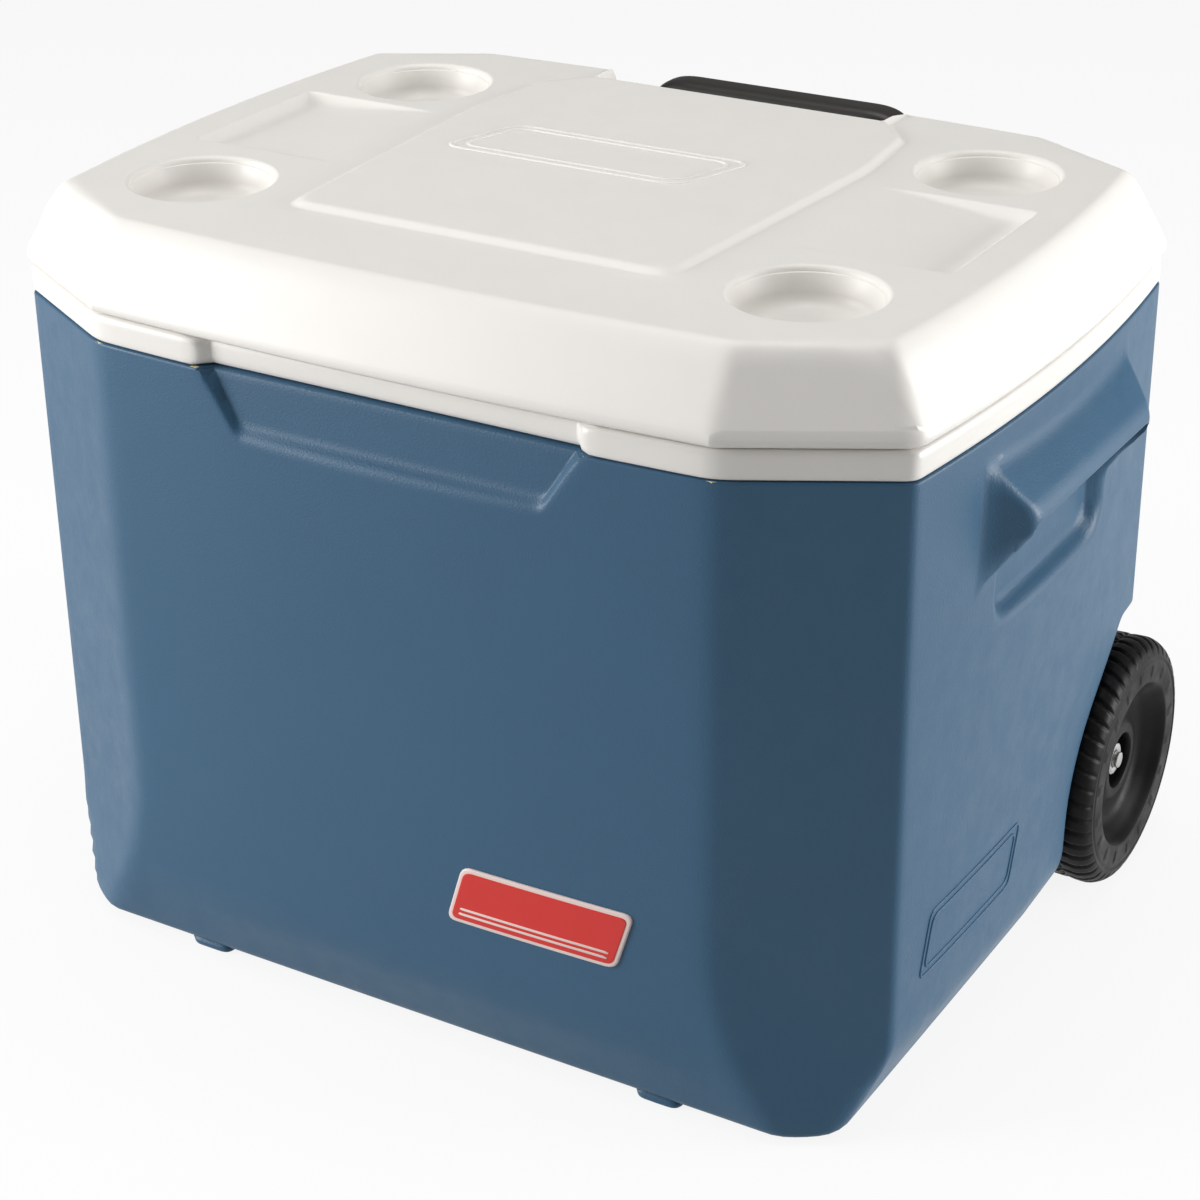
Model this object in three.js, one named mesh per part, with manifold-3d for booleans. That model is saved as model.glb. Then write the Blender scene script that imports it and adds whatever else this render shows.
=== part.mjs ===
// Wheeled cooler: a foam-filled moulded chest with a hinged lid, two wheels on a steel axle,
// a telescopic tow handle on the back wall and a screw drain on the left end.
// Units are millimetres. X runs along the long front, the front faces -Y, Z is up, the ground is z = 0.
import * as THREE from 'three';
import { ConvexGeometry } from 'three/addons/geometries/ConvexGeometry.js';
import { mergeVertices } from 'three/addons/utils/BufferGeometryUtils.js';
import Module from 'manifold-3d';

// ---- Driving dimensions ------------------------------------------------------------------------
const clear = 0.3;               // clearance between parts that touch or fit in each other
const past = 10;                 // a cutting solid runs on past the face that it cuts by this much
const beyond = 400;              // further out than any face of the chest
const cupSteps = 28;             // flats round a cup holder
const wheelSteps = 36;           // flats round a wheel
const roundSteps = 20;           // flats round other turned pieces
const smallSteps = 12;           // flats round a screw

// Chest: plan of the rim, an octagon with gently bowed sides
const rimHeight = 380;           // top edge of the coloured chest above the ground
const halfLength = 273;          // where the end wall meets the corner facet, from the middle
const halfDepth = 209;           // where the long wall meets the corner facet, from the middle
const facetX = 85;               // corner facet, measured along the long wall
const facetY = 46;               // corner facet, measured along the end wall
const endBow = 11;               // how far the end wall bows out at its middle
const longBow = 6;               // how far the long walls bow out at their middle
const bowSteps = 6;              // flats that stand in for one bowed side

// Chest: lower part
const groundGap = 4;             // the underside clears the ground by this much
const footHalfGap = 138;         // inner edge of a front foot from the middle
const footLength = 28;           // foot along X
const footDepth = 34;            // foot along Y
const longKnee = 93;             // height where a facet's edge on the long wall ends
const endKnee = 52;              // height where a facet's edge on the end wall ends
const longBevelHeight = 46;      // top of the bevel along the foot of the long wall
const longBevelHalf = 150;       // half length of that bevel's straight top edge
const facetLean = 0.3;           // how far a facet's edge moves along its wall per unit of inset
const bottomInsetX = 21;         // how far the bottom draws in at the ends
const bottomInsetY = 10;         // how far the bottom draws in at the long walls
const bottomCorner = 30;         // corner radius of the bottom

// Walls, food space and insulation
const shellWall = 3;             // coloured outer shell
const linerWall = 2.5;           // white inner tub
const bandHeight = 16;           // white rim band between chest and lid
const foamEnd = 36;              // food space stands off the end wall by this much
const foamFront = 33;            // and off the front wall
const foamBack = 59;             // and off the back wall, behind which the tow handle runs
const foamFloor = 40;            // and above the underside
const spaceCorner = 40;          // corner radius of the food space
const spaceEase = 5;             // more foam along the walls, since the food space is straight and they bow
const stepSkin = 18;             // insulation kept over a wheel pocket and over the axle channel

// Front finger recess under the lid's front edge
const recessHalfTop = 115;       // half width at the rim
const recessHalfLow = 91;        // half width at its lower edge
const recessHeight = 36;
const recessDepth = 10;          // below the bowed wall's middle
const recessCorner = 8;

// Moulded carrying handles on the ends
const gripRoot = 100;            // half length where the handle leaves the wall
const gripLip = 76;              // half length of its outer lip
const gripReach = 19;            // how far the lip stands off the bowed end wall
const gripSunk = 4;              // the handle's solid starts this far behind the end wall's corner line
const gripTopDrop = 20;          // handle's shelf starts this far below the rim
const gripLipDrop = 42;          // top of the lip below the rim
const gripLipHeight = 10;        // height of the lip's outer face
const gripRootDrop = 94;         // where the gussets run out, below the rim
const gripSkin = 7;              // thickness of shelf and lip
const gripPocketHalf = 76;       // half width of the finger pocket
const gripPocketDrop = 118;      // lower edge of the finger pocket below the rim
const gripPocketDepth = 12;      // how far the pocket goes into the wall
const gripVault = 9;             // how far the pocket's roof rises behind the lip

// Lid
const lidGap = 1.7;              // shadow gap between rim band and lid
const lidHeight = 46;            // lid from its lower edge to its top
const lidLipHeight = 7;          // lower lip before the sides slope in
const lidOverhang = 1.2;         // lip stands proud of the rim by this much
const lidTopInsetX = 21;         // the sides slope in by this much at the ends
const lidTopInsetY = 20;         // and at the long sides
const lidTopFacetX = 66;
const lidTopFacetY = 35;
const lidEdge = 8;               // rounding of the lid's top edge
const lidEdgeSoft = 0.3;         // share of that rounding at its middle flat's ends
const lidLipEase = 3;            // height over which the lip eases out from the rim
const lidWall = 3;
const panelRise = 3;             // raised middle panel
const panelBevel = 4;            // its sides draw in by this much
const panelFront = -127;
const panelHalfFront = 119;      // half width along its front edge
const panelWaist = 75;           // where it is widest, behind the middle
const panelHalfWaist = 131;
const panelShoulder = 137;       // where it turns in towards the notch
const panelHalfShoulder = 124;
const panelHalfBack = 102;       // half width where it meets the notch
const plugDepth = 11;            // lid's underside reaches this far into the food space
const plugClear = 3;             // and clears its walls by this much
const notchHalf = 96;            // half width of the notch for the tow handle, at its front
const notchFlare = 12;           // and this much wider at the back
const notchFront = 164;          // notch starts this far behind the middle

// Cup holders and side trays in the lid
const cupX = 187;                // centres from the middle
const cupY = 110;
const cupRadius = 39.5;
const cupDepth = 20;
const cupFloorShare = 0.8;       // a cup holder's floor radius over its mouth radius
const cupWaistShare = 0.93;      // and its radius where the wall turns in, over the mouth radius
const cupWaistDepth = 0.6;       // which is this share of the way down
const trayOuter = 238;           // outer edge of a tray from the middle
const trayInner = 146;           // where its sloping floor meets the lid's top
const trayFront = -52;
const trayBack = 60;
const trayDepth = 7;

// Lid hinges on the back wall
const hingeX = 150;              // middle of a hinge from the middle of the chest
const hingeWidth = 44;
const hingeRadius = 6;
const hingeOffset = 12.5;        // hinge axis behind the leaf's seat
const hingePinRadius = 2.5;
const hingeKnuckle = 14;         // length of one outer knuckle
const leafThickness = 4;
const leafHeight = 34;
const lidLeafHeight = 16;

// Wheels and axle
const wheelRadius = 77;
const wheelWidth = 42;
const wheelFace = 286;           // outer face from the middle
const wheelY = 152;              // axle behind the middle
const archClear = 8;             // gap round the tyre
const archRoof = 178;            // height of the pocket's roof
const pocketWallX = 238;         // inner wall of the pocket from the middle
const axleRadius = 5;
const hubRadius = 15;
const hubRecess = 18;            // the push nut sits this deep in the hub
const sidewallRadius = 47;       // where the tyre's side meets the dish
const dishDepth = 15;
const wheelShoulder = 8;         // width of the tyre's rounded shoulder
const channelHalf = 7;           // half width of the axle's channel under the chest
const clipHeight = 30;
const clipLength = 26;
const clipX = 120;
const nutThickness = 5;
const nutRadius = 10;
const axleTip = 3;               // axle stands past its push nut

// Telescopic tow handle
const towTubeX = 65;             // tubes from the middle
const outerTubeRadius = 10;
const tubeWall = 1.2;
const tubeBottom = 92;           // foot of the outer tubes
const tubeTop = 376;             // top of the outer tubes
const stagePeep = 3;             // each inner stage stands this far out of the one around it
const bracketHalf = 84;
const bracketHeight = 24;
const bracketWall = 3.2;         // material behind and outside the tubes
const bracketChamfer = 6;
const bracketPad = 8;            // thickness of its middle, between the tubes
const bracketBoss = 16;          // half width of the boss round a tube
const bracketScrewX = 26;        // its screws from the middle
const gripHalf = 88;             // tow grip half length
const gripTopHalf = 62;          // half length of its level top
const gripDepth = 24;
const gripHeight = 24;
const gripTop = 435;             // its top, level with the lid
const gripChamfer = 6;
const gripEnd = 8;               // how far its ends slope
const gripNeck = 12;             // length of the necks under the grip
const gripSocket = 13;           // how far an inner tube goes up into the grip

// Drain on the left end
const drainZ = 66;               // height of the drain's axis
const drainPocketHalf = 27;
const drainPocketDepth = 14;
const spoutRadius = 10.5;
const spoutBore = 8;
const flangeRadius = 17;
const flangeThickness = 2.5;
const drainWasherThickness = 1.5;
const drainNutThickness = 5;
const capRadius = 15;
const capLength = 14;
const threadLength = 8;          // length of spout inside the cap

// Badge on the front and panel on the right end: slanted plates
const badgeX = 88;
const badgeZ = 107;
const badgeLength = 105;
const badgeHeight = 36;
const badgeSlant = 11;
const badgeThickness = 1.4;
const badgeCorner = 5;

// Screws
const screwRadius = 2;
const screwHead = 4;
const screwHeadHeight = 1.8;
const screwLength = 9;

// ---- Derived places ----------------------------------------------------------------------------
const bandBottom = rimHeight + clear;
const bandTop = bandBottom + bandHeight;
const lidBottom = bandTop + lidGap;
const lidTop = lidBottom + lidHeight;
const hingeZ = rimHeight;
const hingeSeat = halfDepth - 0.5;                   // flat seat cut in the bowed back wall
const hingeY = hingeSeat + hingeOffset;
const towTubeY = halfDepth + longBow + clear + outerTubeRadius;
const bracketBack = towTubeY + outerTubeRadius + bracketWall;
const spaceHalfX = halfLength + endBow - foamEnd - spaceEase;
const spaceFront = -(halfDepth + longBow - foamFront - spaceEase);
const spaceBack = halfDepth + longBow - foamBack - spaceEase;
const spaceFloor = groundGap + foamFloor + shellWall + 1;
const axleZ = wheelRadius;
const pocketStepX = pocketWallX - stepSkin - shellWall;
const pocketStepY = wheelY - wheelRadius - archClear - stepSkin;
const pocketStepZ = archRoof + stepSkin;
const channelStepY = wheelY - channelHalf - stepSkin - shellWall;
const channelStepZ = axleZ + channelHalf + stepSkin;

// ---- Solid helpers -----------------------------------------------------------------------------
const wasm = await Module();
wasm.setup();

/** Turn a closed three.js geometry into a manifold solid. */
function solid(geometry) {
  const bare = geometry.index ? geometry.toNonIndexed() : geometry.clone();
  bare.deleteAttribute('normal');
  if (bare.getAttribute('uv')) bare.deleteAttribute('uv');
  const merged = mergeVertices(bare, 1e-3);
  return new wasm.Manifold(new wasm.Mesh({
    numProp: 3,
    vertProperties: new Float32Array(merged.getAttribute('position').array),
    triVerts: new Uint32Array(merged.index.array),
  }));
}

/** Turn a manifold solid back into a three.js geometry. */
function toGeometry(body) {
  const mesh = body.getMesh();
  const geometry = new THREE.BufferGeometry();
  geometry.setAttribute('position', new THREE.BufferAttribute(new Float32Array(mesh.vertProperties), 3));
  geometry.setIndex(new THREE.BufferAttribute(new Uint32Array(mesh.triVerts), 1));
  const flat = geometry.toNonIndexed();
  flat.computeVertexNormals();
  return flat;
}

const joined = (first, ...rest) => rest.reduce((sum, next) => sum.add(next), first);
const cutBy = (first, ...rest) => rest.reduce((left, next) => left.subtract(next), first);

/** A solid box from its lowest and highest corners. */
function box(low, high) {
  const size = high.map((value, axis) => value - low[axis]);
  const geometry = new THREE.BoxGeometry(...size);
  geometry.translate(...low.map((value, axis) => value + size[axis] / 2));
  return solid(geometry);
}

/** Extrude an outline of [u, v] points by length along +Z of its own frame. */
function extruded(points, length) {
  const shape = new THREE.Shape(points.map(([u, v]) => new THREE.Vector2(u, v)));
  return new THREE.ExtrudeGeometry(shape, { depth: length, bevelEnabled: false });
}

/** Prism of a [y, z] outline between two x values. */
function prismX(points, x0, x1) {
  const geometry = extruded(points, x1 - x0);
  geometry.applyMatrix4(new THREE.Matrix4().makeBasis(
    new THREE.Vector3(0, 1, 0), new THREE.Vector3(0, 0, 1), new THREE.Vector3(1, 0, 0)));
  geometry.translate(x0, 0, 0);
  return solid(geometry);
}

/** Prism of an [x, z] outline between two y values. */
function prismY(points, y0, y1) {
  const geometry = extruded(points, y1 - y0);
  geometry.rotateX(Math.PI / 2);
  geometry.translate(0, y1, 0);
  return solid(geometry);
}

/** Prism of an [x, y] outline between two heights. */
function prismZ(points, z0, z1) {
  const geometry = extruded(points, z1 - z0);
  geometry.translate(0, 0, z0);
  return solid(geometry);
}

/** Solid of revolution about an axis through centre; the profile is [radius, station] pairs. */
function turned(profile, axis, centre, steps = roundSteps) {
  const geometry = new THREE.LatheGeometry(profile.map(([r, s]) => new THREE.Vector2(r, s)), steps);
  if (axis === 'x') geometry.rotateZ(-Math.PI / 2);
  if (axis === 'z') geometry.rotateX(Math.PI / 2);
  geometry.translate(...centre);
  return solid(geometry);
}

/** Rod or, with a bore, tube between two stations on an axis. */
function rod(axis, centre, radius, from, to, bore = 0, steps = roundSteps) {
  const profile = bore > 0
    ? [[bore, from], [radius, from], [radius, to], [bore, to], [bore, from]]
    : [[0, from], [radius, from], [radius, to], [0, to]];
  return turned(profile, axis, centre, steps);
}

const mirrorX = (body) => body.mirror([1, 0, 0]);

/** Rounded rectangle outline, counter-clockwise. */
function roundedRectangle(x0, x1, y0, y1, radius, steps = 4) {
  const corners = [[x1 - radius, y1 - radius, 0], [x0 + radius, y1 - radius, 1],
    [x0 + radius, y0 + radius, 2], [x1 - radius, y0 + radius, 3]];
  const points = [];
  for (const [cx, cy, quarter] of corners) {
    for (let step = 0; step <= steps; step += 1) {
      const angle = (quarter + step / steps) * Math.PI / 2;
      points.push([cx + radius * Math.cos(angle), cy + radius * Math.sin(angle)]);
    }
  }
  return points;
}

/** Octagon with bowed sides: the plan of chest and lid, counter-clockwise from the front right. */
function plan(halfX, halfY, cornerX, cornerY, bowX, bowY) {
  const quarter = [];
  for (let step = 0; step <= bowSteps; step += 1) {
    const t = -1 + 2 * step / bowSteps;
    quarter.push([halfX + bowX * (1 - t * t), (halfY - cornerY) * t]);
  }
  const back = [];
  for (let step = 0; step <= bowSteps; step += 1) {
    const t = 1 - 2 * step / bowSteps;
    back.push([(halfX - cornerX) * t, halfY + bowY * (1 - t * t)]);
  }
  const half = [...quarter, ...back];
  return [...half, ...half.map(([x, y]) => [-x, -y])];
}

/** Move each corner of a counter-clockwise outline inwards by distance. */
function inset(points, distance) {
  const count = points.length;
  return points.map((point, index) => {
    const before = points[(index + count - 1) % count];
    const after = points[(index + 1) % count];
    const a = new THREE.Vector2(point[1] - before[1], before[0] - point[0]).normalize();
    const b = new THREE.Vector2(after[1] - point[1], point[0] - after[0]).normalize();
    const scale = distance / (1 + a.dot(b));
    return [point[0] - (a.x + b.x) * scale, point[1] - (a.y + b.y) * scale];
  });
}

const level = (points, z) => points.map(([x, y]) => new THREE.Vector3(x, y, z));
const hull = (points) => solid(new ConvexGeometry(points));
const fourWays = (x, y, z) => [[x, y], [-x, y], [x, -y], [-x, -y]].map(([px, py]) => new THREE.Vector3(px,
  py, z));

// ---- Chest -------------------------------------------------------------------------------------
const rimPlan = plan(halfLength, halfDepth, facetX, facetY, endBow, longBow);

const bottomHalfX = halfLength - bottomInsetX;       // where the end wall's bevel meets the underside
const bottomHalfY = halfDepth - bottomInsetY;        // where the long wall's bevel meets the underside
const facetSlope = facetY / facetX;
const bottomFacetX = bottomHalfX - (halfLength - facetX) - bottomInsetY / facetSlope;
const bottomFacetY = bottomHalfY - (halfDepth - facetY) - bottomInsetX * facetSlope;

/** Ramp that swells out of a facet's foot to the rounded corner of the bottom, at the back right. */
function cornerFoot(wall) {
  const knees = [[halfLength - facetX - wall * facetLean, halfDepth - wall, longKnee],
    [halfLength - wall, halfDepth - facetY - wall * facetLean, endKnee]];
  const arc = inset(roundedRectangle(-bottomHalfX, bottomHalfX, -bottomHalfY, bottomHalfY, bottomCorner),
    wall)
    .filter(([x, y]) => x > 0 && y > 0);
  const core = [[bottomHalfX - 2 * facetX, bottomHalfY - 2 * facetY, longKnee],
    [bottomHalfX - 2 * facetX, bottomHalfY - 2 * facetY, groundGap + wall]];
  return hull([...knees, ...core].map((point) => new THREE.Vector3(...point)).concat(level(arc,
    groundGap + wall)));
}

/** Outer form of the chest, drawn in by a wall, up to a given height. */
function chestForm(wall, top) {
  const bottom = inset(plan(bottomHalfX, bottomHalfY, bottomFacetX, bottomFacetY, 0, 0), wall);
  const bevel = [-1, -0.5, 0, 0.5, 1].map((t) =>
    [longBevelHalf * t, halfDepth + longBow * (1 - t * t) - wall]);
  const upper = hull([
    ...level(inset(rimPlan, wall), top),
    ...fourWays(halfLength - facetX - wall * facetLean, halfDepth - wall, longKnee),
    ...fourWays(halfLength - wall, halfDepth - facetY - wall * facetLean, endKnee),
    ...level(bevel, longBevelHeight),
    ...level(bevel.map(([x, y]) => [x, -y]), longBevelHeight),
    ...level(bottom, groundGap + wall),
  ]);
  const foot = cornerFoot(wall);
  const pair = joined(foot, mirrorX(foot));
  return joined(upper, pair, pair.mirror([0, 1, 0]));
}

/** Trapezium with clipped corners that the front finger recess is cut to. */
function recessOutline(extra) {
  const low = rimHeight - recessHeight - extra;
  const high = rimHeight + bandHeight + 1 + clear;
  const wide = recessHalfTop + extra;
  const narrow = recessHalfLow + extra;
  return [[wide, high], [-wide, high], [-wide, rimHeight], [-narrow - recessCorner, low + recessCorner],
    [-narrow, low], [narrow, low], [narrow + recessCorner, low + recessCorner], [wide, rimHeight]];
}

const recessFloor = -(halfDepth + longBow - recessDepth);
const frontRecess = (extra) => prismY(recessOutline(extra), -halfDepth - longBow - past, recessFloor + extra);

const wallX = halfLength + endBow;                   // end wall at its middle
const gripPocketX = wallX - gripPocketDepth;

/** Right end's carrying handle as a solid bulge, before its pocket is cut. */
function endGripForm() {
  const rootX = halfLength - gripSunk;
  const lipX = wallX + gripReach;
  const point = (x, y, drop) => new THREE.Vector3(x, y, rimHeight - drop);
  const points = [];
  for (const side of [-1, 1]) {
    points.push(point(rootX, side * gripRoot, gripTopDrop), point(rootX, side * gripRoot, gripRootDrop));
    points.push(point(halfLength + gripSunk, side * gripRoot, gripTopDrop + gripSunk));
    points.push(point(lipX, side * gripLip, gripLipDrop), point(lipX, side * gripLip,
      gripLipDrop + gripLipHeight));
  }
  points.push(point(wallX, 0, gripTopDrop), point(rootX, 0, gripTopDrop));
  return hull(points);
}

/** Finger pocket under the right end's handle: behind its lip and down the wall. */
function endPocket(extra) {
  const back = gripPocketX - extra;
  const under = rimHeight - gripLipDrop - gripSkin + extra;
  const lipInner = wallX + gripReach - gripSkin;
  const low = rimHeight - gripPocketDrop - extra;
  const outline = [[back, low + gripPocketDepth], [gripPocketX + gripPocketDepth, low],
    [wallX + gripReach + past, low],
    [wallX + gripReach + past, under - gripSkin - 2], [lipInner, under - gripSkin - 2], [lipInner, under],
    [gripPocketX + gripVault / 2, under + gripVault], [back, under + gripVault]];
  return prismY(outline, -gripPocketHalf - extra, gripPocketHalf + extra);
}

/** Arch-shaped pocket of the right wheel; extra thickens it for the wall around it. */
function wheelPocket(extra) {
  const radius = wheelRadius + archClear + extra;
  const steps = 6;
  const turn = 50 * Math.PI / 180;                   // arc from the front of the tyre up to here
  const points = [[wheelY - radius, -past]];
  for (let step = 0; step <= steps; step += 1) {
    const angle = Math.PI - turn * step / steps;
    points.push([wheelY + radius * Math.cos(angle), axleZ + radius * Math.sin(angle)]);
  }
  const [lastY, lastZ] = points[points.length - 1];
  const roof = archRoof + extra;
  points.push([lastY + (roof - lastZ) * Math.tan(turn), roof]);
  points.push([halfDepth + longBow + past, roof], [halfDepth + longBow + past, -past]);
  return prismX(points.reverse(), pocketWallX - extra, wallX + gripReach + past);
}

const axleChannel = (extra) => box(
  [-pocketWallX - 1, wheelY - channelHalf - extra, -past],
  [pocketWallX + 1, wheelY + channelHalf + extra, axleZ + channelHalf + extra]);

const drainPocket = (extra) => box(
  [-wallX - past, -drainPocketHalf - extra, drainZ - drainPocketHalf - extra],
  [-wallX + drainPocketDepth + extra, drainPocketHalf + extra, drainZ + drainPocketHalf + extra]);

const hingeSeatCut = (side) => box(
  [side * hingeX - hingeWidth / 2 - 2, hingeSeat, hingeZ - leafHeight - 12],
  [side * hingeX + hingeWidth / 2 + 2, halfDepth + longBow + past, bandTop + 1]);

/** Food space, grown by a distance: a rounded box with steps over the wheel pockets and the axle. */
function foodSpace(grow, top) {
  const tub = prismZ(roundedRectangle(-spaceHalfX - grow, spaceHalfX + grow, spaceFront - grow,
    spaceBack + grow,
    spaceCorner), spaceFloor - grow, top);
  const overPocket = box([pocketStepX + grow, pocketStepY + grow, -past],
    [beyond, beyond, pocketStepZ - grow]);
  const overChannel = box([-beyond, channelStepY + grow, -past], [beyond, beyond, channelStepZ - grow]);
  return cutBy(tub, overPocket, mirrorX(overPocket), overChannel);
}

/** Everything inside the chest's outer shell; extra stands off the shell's inner face. */
function shellCavity(extra) {
  const wall = shellWall + extra;
  const pocket = wheelPocket(wall);
  const finger = endPocket(wall);
  return cutBy(chestForm(wall, rimHeight + 2), frontRecess(wall), finger, mirrorX(finger), pocket,
    mirrorX(pocket), axleChannel(wall), drainPocket(wall), box([-beyond, hingeSeat - wall, 0],
      [beyond, beyond, 2 * beyond]));
}

function bodyShell() {
  const pocket = wheelPocket(0);
  const finger = endPocket(0);
  const grip = endGripForm();
  const foot = box([footHalfGap, -(halfDepth - bottomInsetY), 0],
    [footHalfGap + footLength, -(halfDepth - bottomInsetY) + footDepth, groundGap + 1]);
  const form = cutBy(joined(chestForm(0, rimHeight), grip, mirrorX(grip)), shellCavity(0));
  return cutBy(joined(form, foot, mirrorX(foot)), frontRecess(0), finger, mirrorX(finger), pocket,
    mirrorX(pocket), axleChannel(0), drainPocket(0), hingeSeatCut(1), hingeSeatCut(-1), drainBore(),
    rod('x', [0, wheelY, axleZ], axleRadius + clear, -wallX, wallX));
}

const drainBore = () => rod('x', [0, 0, drainZ], spoutRadius + clear, -wallX - 1, -spaceHalfX + 20);

function innerLiner() {
  const band = prismZ(rimPlan, bandBottom, bandTop);
  const tub = foodSpace(linerWall, bandBottom + 1);
  return cutBy(joined(band, tub), foodSpace(0, bandTop + 1), frontRecess(0), hingeSeatCut(1),
    hingeSeatCut(-1),
    drainBore());
}

function insulation() {
  const form = cutBy(shellCavity(clear), box([-beyond, -beyond, rimHeight - clear],
    [beyond, beyond, 2 * beyond]));
  return cutBy(form, foodSpace(linerWall + clear, rimHeight + 5), drainBore());
}

// ---- Lid ---------------------------------------------------------------------------------------
const lidLipPlan = inset(rimPlan, -lidOverhang);
const lidTopPlan = plan(halfLength - lidTopInsetX, halfDepth - lidTopInsetY, lidTopFacetX, lidTopFacetY,
  endBow - 2, longBow - 1);

/** Outer form of the lid, drawn in by a wall; base is its lowest level. */
function lidForm(wall, base) {
  return hull([
    ...level(inset(rimPlan, wall), base),
    ...level(inset(lidLipPlan, wall), lidBottom + lidLipEase),
    ...level(inset(lidLipPlan, wall), lidBottom + lidLipHeight),
    ...level(inset(lidTopPlan, wall - 1), lidTop - lidEdge - wall),
    ...level(inset(lidTopPlan, wall + lidEdge * lidEdgeSoft), lidTop - lidEdge * lidEdgeSoft - wall),
    ...level(inset(lidTopPlan, wall + lidEdge), lidTop - wall),
  ]);
}

const cupAt = (side, end, grow) => turned([[0, -cupDepth - grow], [cupRadius * cupFloorShare + grow,
  -cupDepth - grow],
  [cupRadius * cupWaistShare + grow, -cupDepth * cupWaistDepth - grow], [cupRadius + grow, 0],
    [cupRadius + grow, past], [0, past]],
  'z', [side * cupX, end * cupY, lidTop], cupSteps);

/** Wedge-shaped tray: deep at its outer edge, running out towards the middle. */
function tray(side, grow) {
  const slope = trayDepth / (trayOuter - trayInner);
  const outline = [[trayInner - grow, lidTop - grow],
    [trayOuter + grow, lidTop - trayDepth - grow - slope * grow],
    [trayOuter + grow, lidTop + past], [trayInner - grow, lidTop + past]];
  const wedge = prismY(outline, trayFront - grow, trayBack + grow);
  return side > 0 ? wedge : mirrorX(wedge);
}

const notch = (grow) => prismZ([[-notchHalf - grow, notchFront - grow], [notchHalf + grow, notchFront - grow],
  [notchHalf + notchFlare + grow, halfDepth + longBow + past], [-notchHalf - notchFlare - grow,
    halfDepth + longBow + past]],
  lidBottom - past, lidTop + past);

const lidSeatCut = (side) => box(
  [side * hingeX - hingeWidth / 2 - 2, hingeSeat, lidBottom - past],
  [side * hingeX + hingeWidth / 2 + 2, halfDepth + longBow + past, lidTop + past]);

/** Everything inside the lid's skin; extra stands off its inner face. */
function lidCavity(extra, base) {
  const wall = lidWall + extra;
  const hollows = [];
  for (const side of [-1, 1]) {
    for (const end of [-1, 1]) hollows.push(cupAt(side, end, wall));
    hollows.push(tray(side, wall));
  }
  return cutBy(lidForm(wall, base), ...hollows, notch(wall), box([-beyond, hingeSeat - wall, 0],
    [beyond, beyond, 2 * beyond]));
}

/** Raised middle panel, widening towards the back and sunk 1 mm into the lid's top. */
function lidPanel() {
  const right = [[panelHalfFront, panelFront], [panelHalfWaist, panelWaist],
    [panelHalfShoulder, panelShoulder],
    [panelHalfBack, notchFront]];
  const outline = [...right, ...right.map(([x, y]) => [-x, y]).reverse()];
  return hull([...level(outline, lidTop - 1), ...level(inset(outline, panelBevel), lidTop + panelRise)]);
}

function lidShell() {
  const cuts = [lidSeatCut(1), lidSeatCut(-1), notch(0)];
  for (const side of [-1, 1]) {
    for (const end of [-1, 1]) cuts.push(cupAt(side, end, 0));
    cuts.push(tray(side, 0));
  }
  return cutBy(joined(lidForm(0, lidBottom), lidPanel()), lidCavity(0, lidBottom - 5), ...cuts);
}

const lidPlateTop = lidBottom + 2;
const lidPlateLow = bandTop + clear;

/** Plan of the plug under the lid, drawn in from the food space by a distance. */
const plugPlan = (distance) => roundedRectangle(-spaceHalfX + distance, spaceHalfX - distance,
  spaceFront + distance, spaceBack - distance, spaceCorner - distance);

/** Underside of the lid: a plate inside the skirt with a hollow plug that drops into the food space. */
function lidLiner() {
  const plate = cutBy(prismZ(inset(rimPlan, lidWall + clear), lidPlateLow, lidPlateTop),
    notch(lidWall + clear),
    box([-beyond, hingeSeat - lidWall - clear, 0], [beyond, beyond, 2 * beyond]));
  const plug = prismZ(plugPlan(plugClear), lidPlateLow - plugDepth, lidPlateLow + 1);
  const hollow = prismZ(plugPlan(plugClear + linerWall), lidPlateLow - plugDepth + linerWall,
    lidPlateTop + 1);
  return cutBy(joined(plate, plug), hollow);
}

/** Foam between the lid's skin and its underside, and down inside the plug. */
function lidFoam() {
  const core = prismZ(plugPlan(plugClear + linerWall + clear), lidPlateLow - plugDepth + linerWall + clear,
    lidPlateTop + 2);
  const above = cutBy(lidCavity(clear, lidBottom - 5), box([-beyond, -beyond, 0],
    [beyond, beyond, lidPlateTop + clear]));
  return joined(above, core);
}

// ---- Hinges ------------------------------------------------------------------------------------
const leafY0 = hingeSeat + clear;
const leafY1 = leafY0 + leafThickness;
const centreKnuckle = hingeWidth - 2 * hingeKnuckle - 2 * clear;

/** Chest side of a hinge: screwed plate with two outer knuckles. */
function chestLeaf(side) {
  const x0 = side * hingeX - hingeWidth / 2;
  const x1 = x0 + hingeWidth;
  const top = hingeZ - hingeRadius - clear;
  let leaf = box([x0, leafY0, hingeZ - leafHeight], [x1, leafY1, top]);
  for (const start of [x0, x1 - hingeKnuckle]) {
    const web = prismX([[leafY0, top - 8], [hingeY, hingeZ - hingeRadius], [hingeY, hingeZ],
      [leafY0, hingeZ]],
      start, start + hingeKnuckle);
    leaf = joined(leaf, web, rod('x', [0, hingeY, hingeZ], hingeRadius, start, start + hingeKnuckle));
  }
  const bore = rod('x', [0, hingeY, hingeZ], hingePinRadius + clear, x0 - 1, x1 + 1, 0, smallSteps);
  return cutBy(leaf, bore, ...screwSites(side, 'chest').map((site) => screwHole(site)));
}

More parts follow.
